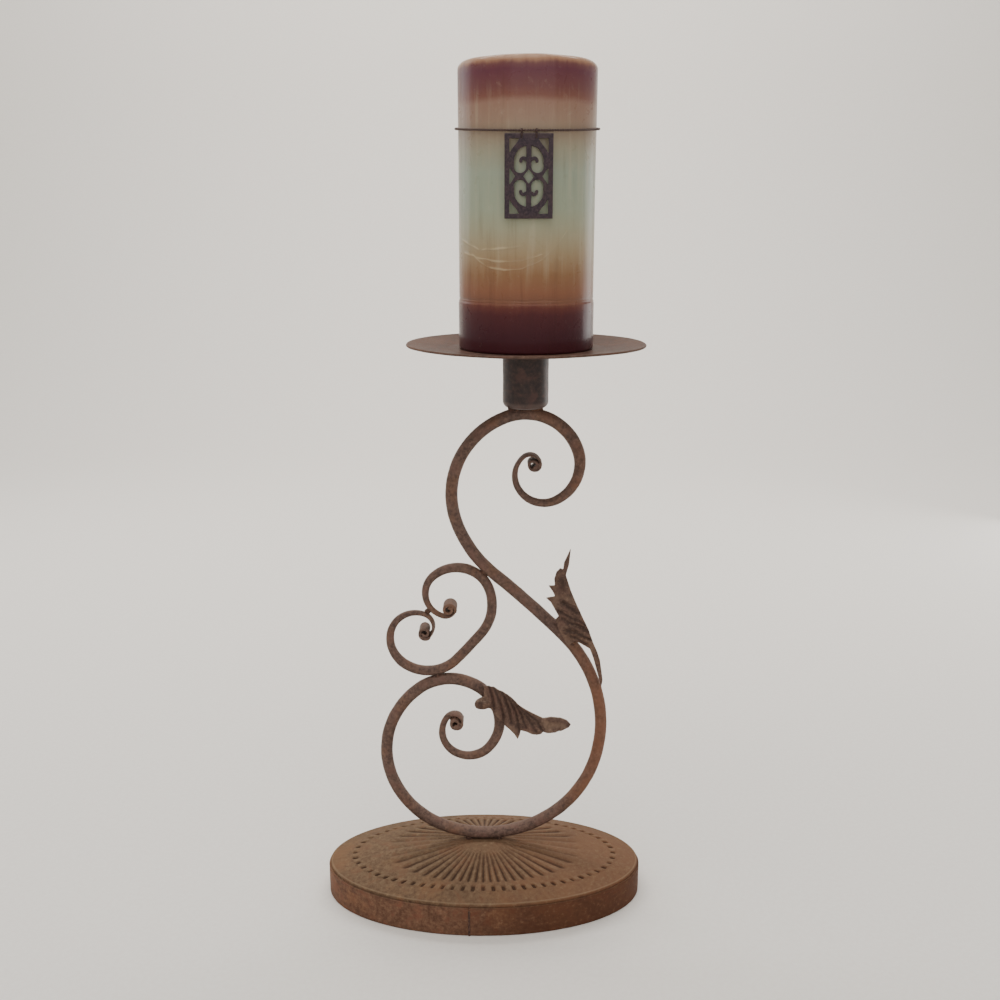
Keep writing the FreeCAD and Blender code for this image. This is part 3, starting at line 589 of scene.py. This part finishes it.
def offLine(along, across, line, length):
    # how far each point of the leaf lies from a bent line
    nearest = np.full(len(along), 1.0)
    for (u0, w0), (u1, w1) in zip(line, line[1:]):
        du, dw = u1 - u0, w1 - w0
        part = np.clip(((along - u0) * du + (across - w0) * dw) / (du * du + dw * dw), 0, 1)
        nearest = np.minimum(nearest, np.hypot(along - u0 - du * part, across - w0 - dw * part) * length)
    return nearest


def leafMesh(look):
    mesh = remeshed(look["node"], look["voxel"], 5)
    points, outward = places(mesh), normals(mesh)
    heading = math.radians(look["angle"])
    dx, dz = points[:, 0] - look["root"][0], points[:, 2] - look["root"][1]
    along = (dx * math.cos(heading) + dz * math.sin(heading)) / look["length"]
    across = (dz * math.cos(heading) - dx * math.sin(heading)) / look["length"]
    wander = rough(points, 9 * mm, look["seed"]) * 0.006
    crease = np.full(len(points), 1.0)
    for line in look["creases"]:
        crease = np.minimum(crease, offLine(along + wander, across - wander, line, look["length"]))
    dome = 1 - (1 - np.clip(crease / look["petal"], 0, 1)) ** 2
    veined = 1 - smooth(crease, look["petal"] * 1.6, look["petal"] * 3.0)
    lift = look["depth"] * (dome - 1) * veined
    boat = offLine(along, across, look["boat"], look["length"])
    lift -= look["boatDepth"] * (1 - smooth(boat, 0, look["boatReach"]))
    lift += look["curl"] * smooth(across * look["side"], look["curlFrom"], look["curlFrom"] + 0.12) ** 2
    lift += rough(points, 5 * mm, look["seed"] + 2) * 0.2 * mm
    knob = 1 - smooth(offLine(along, across, look["knob"], look["length"]), 0, 7 * mm)
    points += outward * (knob * look["swell"])[:, None]
    points[:, 1] -= lift
    moveTo(mesh, points)
    petal = look["petal"]
    # painted shade in the creases, the upper boat and the knob, and a painted highlight on the petal crowns and
    # the lower boat
    marks = 0.27 * (1 - smooth(crease, 0, petal * 0.7)) - 0.24 * smooth(crease, petal * 0.5, petal) * veined
    marks += look["boatShade"] * (1 - smooth(boat, 0, look["boatReach"])) + look["knobShade"] * knob
    setHollows(mesh, 0.5 + marks)
    return mesh


leafRust = dict(barRust)
leafRust.update({"dark": tint(70, 52, 45), "brown": tint(108, 84, 72), "light": tint(142, 117, 97),
                 "rust": tint(116, 84, 60), "red": tint(90, 60, 54), "deep": tint(36, 23, 20), "mottle": 2.2 * mm,
                 "redAmount": 0.3, "rustAmount": 0.2, "hollowShadeAmount": 0.7, "dustAndTopLightAmount": 0.5, "relief": 0.1 * mm})
leafIron = ironFinish("leafIron", leafRust)
for leafName, leaf in leaves.items():
    addPiece(leafName + "LeafPressed", leafMesh(leaf), "stand", [leaf["node"]], leafIron)
print("leaves pressed")


# Cup and drip plate, spun.

def lathe(name, profile, centre, columns):
    # profile runs from axis to axis, as rows of radius and height
    profile = np.asarray(profile, float)
    angles = np.arange(columns) / columns * turn
    rings = []
    for radius, height in profile[1:-1]:
        rings.append(np.stack([centre[0] + radius * np.cos(angles), centre[1] + radius * np.sin(angles),
                               np.full(columns, centre[2] + height)], 1))
    first = (centre[0], centre[1], centre[2] + profile[0][1])
    last = (centre[0], centre[1], centre[2] + profile[-1][1])
    return ringMesh(name, rings, first, last)


def arcRow(centreRadius, centreHeight, size, start, end, steps):
    angles = np.radians(np.linspace(start, end, steps))
    return [(centreRadius + size * math.cos(angle), centreHeight + size * math.sin(angle)) for angle in angles]


def lineRow(start, end, steps):
    return [(start[0] + (end[0] - start[0]) * step / steps, start[1] + (end[1] - start[1]) * step / steps)
            for step in range(steps)]


plate = {"floor": 59.0 * mm, "wall": 1.6 * mm, "bend": 10.0 * mm, "columns": 300, "waver": 0.35 * mm,
         "ripple": 0.07 * mm, "spinMarks": 0.03 * mm, "marks": 1.9 * mm, "hollow": 0.08 * mm}


def plateMesh(look):
    low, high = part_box("drip_plate")
    centre = ((low.x + high.x) / 2, (low.y + high.y) / 2, low.z)
    rim, rise, wall = (high.y - low.y) / 2, high.z - low.z - look["wall"], look["wall"]
    slope = math.atan2(rise, rim - look["floor"])
    lip = (rim - wall * 0.55, rise + wall * 0.45)
    bendEnd = look["floor"] + look["bend"] * math.sin(slope)
    under = lineRow((0, 0), (look["floor"], 0), 40)
    under += arcRow(look["floor"], look["bend"] + wall, look["bend"] + wall, -90, -90 + math.degrees(slope), 5)
    underEnd = (lip[0] + math.sin(slope) * wall * 0.5, lip[1] - math.cos(slope) * wall * 0.5)
    overEnd = (lip[0] - math.sin(slope) * wall * 0.5, lip[1] + math.cos(slope) * wall * 0.5)
    under += lineRow(under[-1], underEnd, 24)[1:]
    edge = arcRow(lip[0], lip[1], wall * 0.5, -90 + math.degrees(slope), 90 + math.degrees(slope), 9)
    over = lineRow(overEnd, (bendEnd, wall + look["bend"] * (1 - math.cos(slope))), 24)[1:]
    over += arcRow(look["floor"], look["bend"] + wall, look["bend"], -90 + math.degrees(slope), -90, 5)
    over += lineRow((look["floor"], wall), (0, wall), 40)[1:] + [(0, wall)]
    mesh = lathe("dripPlate", under + edge + over, centre, look["columns"])
    points = places(mesh)
    reach = np.hypot(points[:, 0] - centre[0], points[:, 1] - centre[1])
    flatPoints = points * (1, 1, 0)
    waver = rough(flatPoints, 60 * mm, 91) * look["waver"] + rough(flatPoints, 9 * mm, 92) * look["ripple"]
    waver += look["spinMarks"] * np.sin(reach / look["marks"] * turn)
    points[:, 2] -= (waver + look["waver"] * 0.6) * smooth(reach, 56 * mm, rim)
    moveTo(mesh, points)
    return mesh


plateRust = dict(barRust)
plateRust.update({
    "dark": tint(56, 40, 37), "brown": tint(94, 72, 65), "light": tint(132, 110, 96), "red": tint(92, 58, 52),
    "rust": tint(116, 80, 60), "dust": tint(114, 92, 81), "patch": 40 * mm, "blotch": 12 * mm, "mottle": 3.0 * mm,
    "dustAndTopLightAmount": 0.3, "roughness": 0.36, "shine": 0.015,
})
plateIron = ironFinish("plateIron", plateRust)
platePiece = plateMesh(plate)
markHollows(platePiece, plate["hollow"])
addPiece("dripPlateSpun", platePiece, "stand", ["drip_plate"], plateIron)

cup = {"wall": 1.6 * mm, "foot": 5.0 * mm, "columns": 160, "dents": 0.14 * mm, "hollow": 0.06 * mm}


def cupMesh(look):
    low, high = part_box("candle_cup")
    centre = ((low.x + high.x) / 2, (low.y + high.y) / 2, low.z)
    radius, tall, wall, foot = (high.x - low.x) / 2, high.z - low.z, look["wall"], look["foot"]
    outside = lineRow((0, 0), (radius - foot, 0), 12) + arcRow(radius - foot, foot, foot, -90, 0, 9)
    outside += lineRow((radius, foot), (radius, tall), 44)[1:] + [(radius, tall)]
    inside = lineRow((radius - wall, tall), (radius - wall, foot), 24)
    inside += arcRow(radius - foot, foot, foot - wall, 0, -90, 9)
    inside += lineRow((radius - foot, wall), (0, wall), 10)[1:]
    mesh = lathe("cup", outside + inside + [(0, wall)], centre, look["columns"])
    points, outward = places(mesh), normals(mesh)
    dent = rough(points, 8 * mm, 95, 2) * look["dents"]
    ends = smooth(points[:, 2] - low.z, 0.2 * mm, 3 * mm) * smooth(high.z - points[:, 2], 0.1 * mm, 2 * mm)
    moveTo(mesh, points + outward * ((dent - look["dents"]) * ends)[:, None])
    return mesh


cupRust = dict(plateRust)
cupRust.update({"dark": tint(38, 26, 25), "brown": tint(64, 46, 41), "light": tint(92, 70, 62),
                "dustAndTopLightAmount": 0.2, "roughness": 0.4, "shine": 0.45})
cupPiece = cupMesh(cup)
markHollows(cupPiece, cup["hollow"])
addPiece("cupDrawn", cupPiece, "stand", ["candle_cup"], ironFinish("cupIron", cupRust))
print("cup and plate spun")


# Candle: layered wax with its dipped foot, folds and wrinkles.

candle = {
    "dipHeight": 36.0 * mm, "dipProud": 0.55 * mm, "foot": 1.2 * mm, "shoulder": 5.0 * mm, "poolDepth": 3.2 * mm,
    "poolMargin": 9.0 * mm, "columns": 420, "rows": 330, "waver": 0.32 * mm, "drawn": 0.09 * mm,
    "seams": (37.9 * mm, 35.4 * mm), "seamDepth": 0.35 * mm, "seamWidth": 0.55 * mm,
    # wrinkles in the skin, as angle from the front in degrees and height in mm
    "wrinkles": [
        [(-66, 70.5), (-50, 68.5), (-36, 61.0), (-20, 59.0), (-5, 60.0), (11, 65.5), (21, 73.5), (30, 82.0),
         (36, 89.0)],
        [(-42, 72.5), (-22, 73.5), (-5, 75.0)],
        [(-49, 67.5), (-24, 64.5), (-5, 65.5), (14, 70.0)],
        [(-73, 80.5), (-55, 76.0), (-42, 72.5)],
    ],
    "wrinkleHeight": 0.2 * mm, "wrinkleWidth": 1.25 * mm, "rimWaver": 0.9 * mm,
}


def candleMesh(look):
    low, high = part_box("candle_body")
    centre = ((low.x + high.x) / 2, (low.y + high.y) / 2, low.z)
    radius = (high.x - low.x) / 2 - 0.6 * mm
    tall = high.z - low.z
    shoulder, foot, pool = look["shoulder"], look["foot"], radius - look["poolMargin"]
    side = lineRow((radius, foot), (radius, tall - shoulder), look["rows"])
    profile = lineRow((0, 0), (radius - foot, 0), 14) + arcRow(radius - foot, foot, foot, -90, 0, 6)[:-1] + side
    profile += arcRow(radius - shoulder, tall - shoulder, shoulder, 0, 90, 14)
    profile += lineRow((radius - shoulder, tall), (pool, tall), 5)[1:]
    for degrees in range(-90, 91, 15):
        down = 1 + math.sin(math.radians(degrees))
        profile.append((pool - look["poolDepth"] * down, tall - look["poolDepth"] * down / 2))
    flat = tall - look["poolDepth"]
    profile += lineRow((pool - 2 * look["poolDepth"], flat), (0, flat), 24)[1:] + [(0, flat)]
    mesh = lathe("candle", profile, centre, look["columns"])
    points = places(mesh)
    flatPoints = points * (1, 1, 0)
    dx, dy, height = points[:, 0] - centre[0], points[:, 1] - centre[1], points[:, 2] - centre[2]
    reach = np.hypot(dx, dy)
    angle = np.degrees(np.arctan2(dx, -dy))
    skin = smooth(reach, radius - 2.5 * mm, radius - 0.8 * mm) * smooth(height, 0, 2 * mm)
    out = look["dipProud"] * (1 - smooth(height, look["dipHeight"] - 1.2 * mm, look["dipHeight"]))
    # long pulls down the skin, and broad hand-turned waviness
    out += rough(points * (1, 1, 0.10), 6.5 * mm, 101) * look["drawn"]
    out += rough(points * (1, 1, 0.35), 34 * mm, 102) * look["waver"] - look["waver"] * 0.5
    for seam in look["seams"]:
        level = seam - 0.8 * mm * (abs(angle) / 90) ** 2 + rough(flatPoints, 20 * mm, 103) * 0.5 * mm
        out -= look["seamDepth"] * (1 - smooth(abs(height - level), 0, look["seamWidth"]))
    wrinkle = np.zeros(len(points))
    wide = smooth(rough(points * (1, 1, 0.4), 11 * mm, 106), -0.35, 0.45)
    for line in look["wrinkles"]:
        stops = np.array(line)
        level = np.interp(angle, stops[:, 0], stops[:, 1]) * mm + rough(flatPoints, 7 * mm, 104) * 0.5 * mm
        left, right = stops[0, 0], stops[-1, 0]
        ends = smooth(angle, left - 2, left + 4) * (1 - smooth(angle, right - 4, right + 2))
        ridge = 1 - smooth(abs(height - level), 0, look["wrinkleWidth"] * (0.7 + 0.6 * wide))
        wrinkle = np.maximum(wrinkle, ends * ridge * (0.6 + 0.4 * wide))
    out += wrinkle * look["wrinkleHeight"]
    scale = 1 + skin * out / np.maximum(reach, mm)
    points[:, 0], points[:, 1] = centre[0] + dx * scale, centre[1] + dy * scale
    # the top rim is a little uneven, in the places where the skin now stands
    sunk = (0.5 + 0.5 * rough(points * (1, 1, 0), 22 * mm, 105)) * look["rimWaver"]
    points[:, 2] -= smooth(height, tall - 8 * mm, tall) * sunk
    moveTo(mesh, points)
    # the wrinkle ridges are marked for a painted highlight in the wax finish
    setHollows(mesh, wrinkle)
    return mesh


wax = {
    # height on the candle in mm, and the colour of the wax there
    "layers": [
        (0, tint(70, 33, 38)), (14, tint(74, 34, 41)), (28, tint(84, 41, 43)), (33, tint(104, 56, 49)),
        (37, tint(125, 85, 66)), (44, tint(138, 93, 69)), (55, tint(140, 104, 74)), (62, tint(149, 121, 91)),
        (69, tint(157, 136, 105)), (77, tint(160, 147, 118)), (88, tint(158, 156, 130)),
        (100, tint(152, 159, 137)), (124, tint(149, 157, 138)), (138, tint(150, 146, 125)),
        (146, tint(148, 134, 114)), (158, tint(146, 120, 102)), (169, tint(142, 110, 94)),
        (173, tint(121, 79, 68)), (179, tint(109, 67, 65)), (190, tint(98, 54, 64)),
        (193.5, tint(110, 68, 68)), (196, tint(158, 118, 92)), (200, tint(178, 143, 116)),
    ],
    "height": 200 * mm, "waver": 5.5 * mm, "streak": 5 * mm,
}


def waxFinish(look):
    paint = Paint("candleWax")
    low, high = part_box("candle_body")
    z = paint.axis(paint.place, "Z")
    wide = paint.noise(26 * mm, 3, 0.5, 0.2, paint.stretched((1, 1, 0.45)))
    streak = paint.noise(look["streak"], 4, 0.55, 0.1, paint.stretched((1, 1, 0.07)))
    cloud = paint.noise(9 * mm, 5, 0.6, 0.5)
    fine = paint.noise(1.1 * mm, 3, 0.6)
    waver = (wide - 0.5) * look["waver"] + (streak - 0.5) * look["waver"] * 0.8
    level = (z - low.z + waver) * (1 / look["height"])
    stops = [(height * mm / look["height"], colour) for height, colour in look["layers"]]
    colour = paint.node("ShaderNodeValToRGB", {"stops": stops}, {"Fac": level})
    aboveFoot = paint.step(level, 0.19, 0.34)
    belowTop = paint.step(1 - level, 0.06, 0.16)
    # pale vertical streaks between the foot and the top are a painted highlight on the shiny wax
    colour = paint.blend(paint.step(streak, 0.5, 0.8) * aboveFoot * belowTop * 0.3, colour, tint(190, 176, 150))
    colour = paint.blend(paint.step(1 - streak, 0.54, 0.8) * 0.28, colour, tint(66, 38, 30))
    colour = paint.blend(paint.step(cloud, 0.55, 0.8) * aboveFoot * 0.12, colour, tint(196, 180, 156))
    # pale glare along the wrinkle ridges is a painted highlight
    colour = paint.blend(paint.step(paint.hollow() * (0.5 + cloud), 0.3, 0.95) * 0.45, colour, tint(204, 184, 148))
    scuff = paint.step(fine * cloud, 0.36, 0.5)
    colour = paint.blend(scuff * 0.16, colour, tint(200, 186, 168))
    height = streak * 0.5 + cloud * 0.3 + fine * 0.04
    constants = {"Subsurface Weight": 0.12, "Subsurface Radius": (1.0, 0.6, 0.35), "Subsurface Scale": 2.5 * mm,
                 "Coat Weight": 0.22, "Coat Roughness": 0.10, "Specular IOR Level": 0.15}
    roughness = 0.30 + (cloud - 0.5) * 0.2 + scuff * 0.2
    return paint.finish(colour, roughness, paint.bump(height, 0.25 * mm, 0.5), constants)


addPiece("candleWaxed", candleMesh(candle), "candle", ["candle_body"], waxFinish(wax))
print("candle dipped")


# Wick: three plaited strands, standing out of the wax.

wick = {"strands": 3, "strandRadius": 0.55 * mm, "plait": 0.42 * mm, "pitch": 4.2 * mm, "perTurn": 14, "sides": 8}


def strandRings(route, radius, sides, guide, loop=False):
    # the rings of a tube along a list of points; guide is any direction that the tube never runs in
    route = np.asarray(route, float)
    tangents = np.roll(route, -1, 0) - np.roll(route, 1, 0) if loop else np.gradient(route, axis=0)
    tangents /= np.linalg.norm(tangents, axis=1)[:, None]
    aside = np.cross(tangents, guide)
    aside /= np.linalg.norm(aside, axis=1)[:, None]
    other = np.cross(tangents, aside)
    angles = np.arange(sides) / sides * turn
    return route[:, None] + radius * (np.cos(angles)[None, :, None] * aside[:, None]
                                      + np.sin(angles)[None, :, None] * other[:, None])


def joinedMesh(name, parts):
    # parts are (rings, loop) pairs, made into one mesh
    vertices, faces = [], []
    for rings, loop in parts:
        part = ringMesh(name, rings, None if loop else rings[0].mean(0), None if loop else rings[-1].mean(0), loop)
        start = len(vertices)
        vertices += [tuple(vertex.co) for vertex in part.vertices]
        faces += [tuple(start + index for index in polygon.vertices) for polygon in part.polygons]
        bpy.data.meshes.remove(part)
    mesh = bpy.data.meshes.new(name)
    mesh.from_pydata(vertices, [], faces)
    mesh.update()
    return mesh


def wickMesh(look):
    low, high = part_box("wick")
    middle = ((low.x + high.x) / 2, (low.y + high.y) / 2)
    tall = high.z - low.z
    count = int(tall / look["pitch"] * look["perTurn"])
    parts = []
    for strand in range(look["strands"]):
        route = []
        for step in range(count + 1):
            angle = turn * (step / look["perTurn"] + strand / look["strands"])
            height = low.z + look["strandRadius"] + (tall - 2 * look["strandRadius"]) * step / count
            x, y = look["plait"] * math.cos(angle), look["plait"] * math.sin(angle)
            route.append((middle[0] + x, middle[1] + y, height))
        parts.append((strandRings(route, look["strandRadius"], look["sides"], (0.3, 1.0, 0.2)), False))
    return joinedMesh("wick", parts)


def cottonFinish():
    paint = Paint("wickCotton")
    fibre = paint.noise(0.35 * mm, 4, 0.7, 0.3)
    soak = paint.noise(3 * mm, 3)
    colour = paint.blend(paint.step(fibre, 0.35, 0.7), tint(150, 128, 100), tint(214, 200, 176))
    colour = paint.blend(paint.step(soak, 0.45, 0.7) * 0.5, colour, tint(172, 132, 104))
    return paint.finish(colour, 0.62 + fibre * 0.2, paint.bump(fibre, 0.1 * mm), {"Subsurface Weight": 0.1})


addPiece("wickPlaited", wickMesh(wick), "candle", ["wick"], cottonFinish())


def tinFinish():
    paint = Paint("tabTin")
    spangle = paint.cells(2.4 * mm)
    haze = paint.noise(1.5 * mm, 4, 0.6)
    colour = paint.blend(paint.step(haze, 0.35, 0.7), tint(150, 150, 148), tint(196, 196, 192))
    colour = paint.blend(paint.step(spangle, 0.2, 0.6) * 0.3, colour, tint(128, 128, 128))
    return paint.finish(colour, 0.34 + haze * 0.2, paint.bump(haze, 0.04 * mm), {"Metallic": 0.9})


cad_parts["wick_tab"].data.materials.clear()
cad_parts["wick_tab"].data.materials.append(tinFinish())
print("wick plaited")


# Ring: two strands of iron wire twisted together round the candle.

ring = {"strandRadius": 0.53 * mm, "twist": 0.32 * mm, "twists": 84, "perTwist": 14, "sides": 10, "tilt": 6.0,
        "waver": 0.10 * mm, "wire": 1.6 * mm, "hollow": 0.06 * mm}


def twistedRing(look):
    low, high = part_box("ring_wire")
    centre = (low + high) / 2
    radius = (high.x - low.x) / 2 - look["wire"] / 2
    tilt = math.radians(look["tilt"])
    count = look["twists"] * look["perTwist"]
    parts = []
    for strand in range(2):
        route = []
        for step in range(count):
            angle = turn * step / count
            spin = turn * step / look["perTwist"] + math.pi * strand
            reach = radius + look["twist"] * math.cos(spin)
            reach += look["waver"] * math.sin(angle * 9) * math.sin(angle * 4)
            rise = look["twist"] * math.sin(spin)
            x, y = reach * math.cos(angle), reach * math.sin(angle)
            route.append((centre.x + x, centre.y + y * math.cos(tilt) - rise * math.sin(tilt),
                          centre.z + y * math.sin(tilt) + rise * math.cos(tilt)))
        parts.append((strandRings(route, look["strandRadius"], look["sides"], (0, 0, 1.0), True), True))
    return joinedMesh("ringWire", parts)


wireRust = dict(barRust)
wireRust.update({
    "dark": tint(40, 30, 32), "brown": tint(66, 52, 50), "light": tint(104, 86, 78), "red": tint(74, 50, 46),
    "rust": tint(88, 62, 50), "dust": tint(96, 80, 74), "patch": 12 * mm, "blotch": 4 * mm, "mottle": 0.9 * mm,
    "grain": 0.2 * mm, "flake": 0.5 * mm, "relief": 0.05 * mm,
    "dustAndTopLightAmount": 0.3, "roughness": 0.42, "metallic": 0.3,
})
wireIron = ironFinish("wireIron", wireRust)
wirePiece = twistedRing(ring)
markHollows(wirePiece, ring["hollow"], 1)
addPiece("ringWireTwisted", wirePiece, "ring", ["ring_wire"], wireIron)


# Pendant: a pierced plate with softened edges, hung by two straps.

pendant = {"voxel": 0.2 * mm, "unevenness": 0.07 * mm, "hollow": 0.03 * mm}
pendantRust = dict(wireRust)
pendantRust.update({
    "dark": tint(44, 35, 42), "brown": tint(70, 58, 64), "light": tint(104, 90, 92), "red": tint(74, 54, 58),
    "rust": tint(84, 66, 62), "dust": tint(96, 84, 86), "mottle": 1.4 * mm, "grain": 0.3 * mm,
    "relief": 0.07 * mm, "roughness": 0.5, "metallic": 0.2, "shine": 0.3,
})


def pendantMesh(look):
    mesh = remeshed("pendant", look["voxel"], 4)
    points, outward = places(mesh), normals(mesh)
    bump = rough(points, 2.2 * mm, 131, 2) * look["unevenness"]
    moveTo(mesh, points + outward * (bump - look["unevenness"] * 0.4)[:, None])
    markHollows(mesh, look["hollow"])
    return mesh


pendantIron = ironFinish("pendantIron", pendantRust)
addPiece("pendantPierced", pendantMesh(pendant), "pendant", ["pendant"], pendantIron)
straps = {"voxel": 0.11 * mm, "hollow": 0.03 * mm}
for side in ("left", "right"):
    strap = remeshed("hanger_" + side, straps["voxel"])
    markHollows(strap, straps["hollow"], 1)
    addPiece("hangerStrap" + side.capitalize(), strap, "pendant", ["hanger_" + side], wireIron)
print("ring and pendant hung")


# Studio: pale floor sweeping up behind, soft light and the camera.

studio = {"width": 7.0, "front": -4.0, "bend": 1.7, "sweep": 1.0, "tall": 3.4, "steps": 24}     # metres


def sweepMesh(look):
    rows = [(look["front"], 0), (look["bend"], 0)]
    for step in range(1, look["steps"] + 1):
        angle = math.pi / 2 * step / look["steps"]
        rows.append((look["bend"] + look["sweep"] * math.sin(angle), look["sweep"] * (1 - math.cos(angle))))
    rows.append((look["bend"] + look["sweep"], look["tall"]))
    half = look["width"] / 2
    vertices = []
    for y, z in rows:
        vertices += [(-half, y, z), (half, y, z)]
    faces = [(2 * row, 2 * row + 1, 2 * row + 3, 2 * row + 2) for row in range(len(rows) - 1)]
    mesh = bpy.data.meshes.new("studioSweep")
    mesh.from_pydata(vertices, [], faces)
    mesh.polygons.foreach_set("use_smooth", [True] * len(mesh.polygons))
    return mesh


def paperFinish():
    paint = Paint("studioPaper")
    tooth = paint.noise(4 * mm, 3)
    colour = paint.blend(paint.step(tooth, 0.3, 0.7), tint(238, 233, 226), tint(241, 237, 230))
    return paint.finish(colour, 0.85 + (tooth - 0.5) * 0.05, paint.bump(tooth, 0.05 * mm), {})


floorPiece = bpy.data.objects.new("studioSweep", sweepMesh(studio))
floorPiece.data.materials.append(paperFinish())
bpy.context.scene.collection.objects.link(floorPiece)


def softLight(name, place, target, width, tall, power, colour):
    lamp = bpy.data.lights.new(name, "AREA")
    lamp.shape = "RECTANGLE"
    lamp.size = width
    lamp.size_y = tall
    lamp.energy = power
    lamp.color = colour
    holder = bpy.data.objects.new(name, lamp)
    holder.location = place
    holder.rotation_euler = (Vector(target) - Vector(place)).to_track_quat("-Z", "Y").to_euler()
    bpy.context.scene.collection.objects.link(holder)


# place, target, width and height in metres, then power and colour
softLight("overhead", (-0.2, -0.5, 1.9), (0, 0, 0.3), 1.5, 1.2, 15, (1.0, 0.97, 0.93))
softLight("leftWindow", (-1.25, 0.85, 1.05), (0, 0, 0.6), 0.8, 1.1, 3.4, (0.96, 0.98, 1.0))
softLight("rightWindow", (1.25, 0.85, 0.36), (0, 0, 0.45), 0.8, 0.7, 3.6, (1.0, 0.98, 0.97))
softLight("frontFill", (0.3, -2.6, 1.5), (0, 0, 0.3), 4.0, 1.6, 14, (1.0, 0.97, 0.94))
softLight("backdropWash", (0, 0.9, 2.3), (0, 2.4, 0.5), 2.6, 0.6, 60, (1.0, 0.98, 0.96))

world = bpy.data.worlds.new("studioAir")
world.use_nodes = True
world.node_tree.nodes["Background"].inputs["Color"].default_value = (1.0, 0.98, 0.95, 1)
world.node_tree.nodes["Background"].inputs["Strength"].default_value = 0.5
bpy.context.scene.world = world

# the photograph's view; down is in degrees, lens and sensor in the camera's own mm
shot = {"place": (13.6 * mm, -794 * mm, 546 * mm), "down": 14.4, "lens": 37.8, "sensor": 36}
lens = bpy.data.cameras.new("camera")
lens.lens = shot["lens"]
lens.sensor_width = shot["sensor"]
lens.clip_start = 0.01
camera = bpy.data.objects.new("camera", lens)
camera.location = shot["place"]
camera.rotation_euler = (math.radians(90 - shot["down"]), 0, 0)
bpy.context.scene.collection.objects.link(camera)
bpy.context.scene.camera = camera
print("studio set")
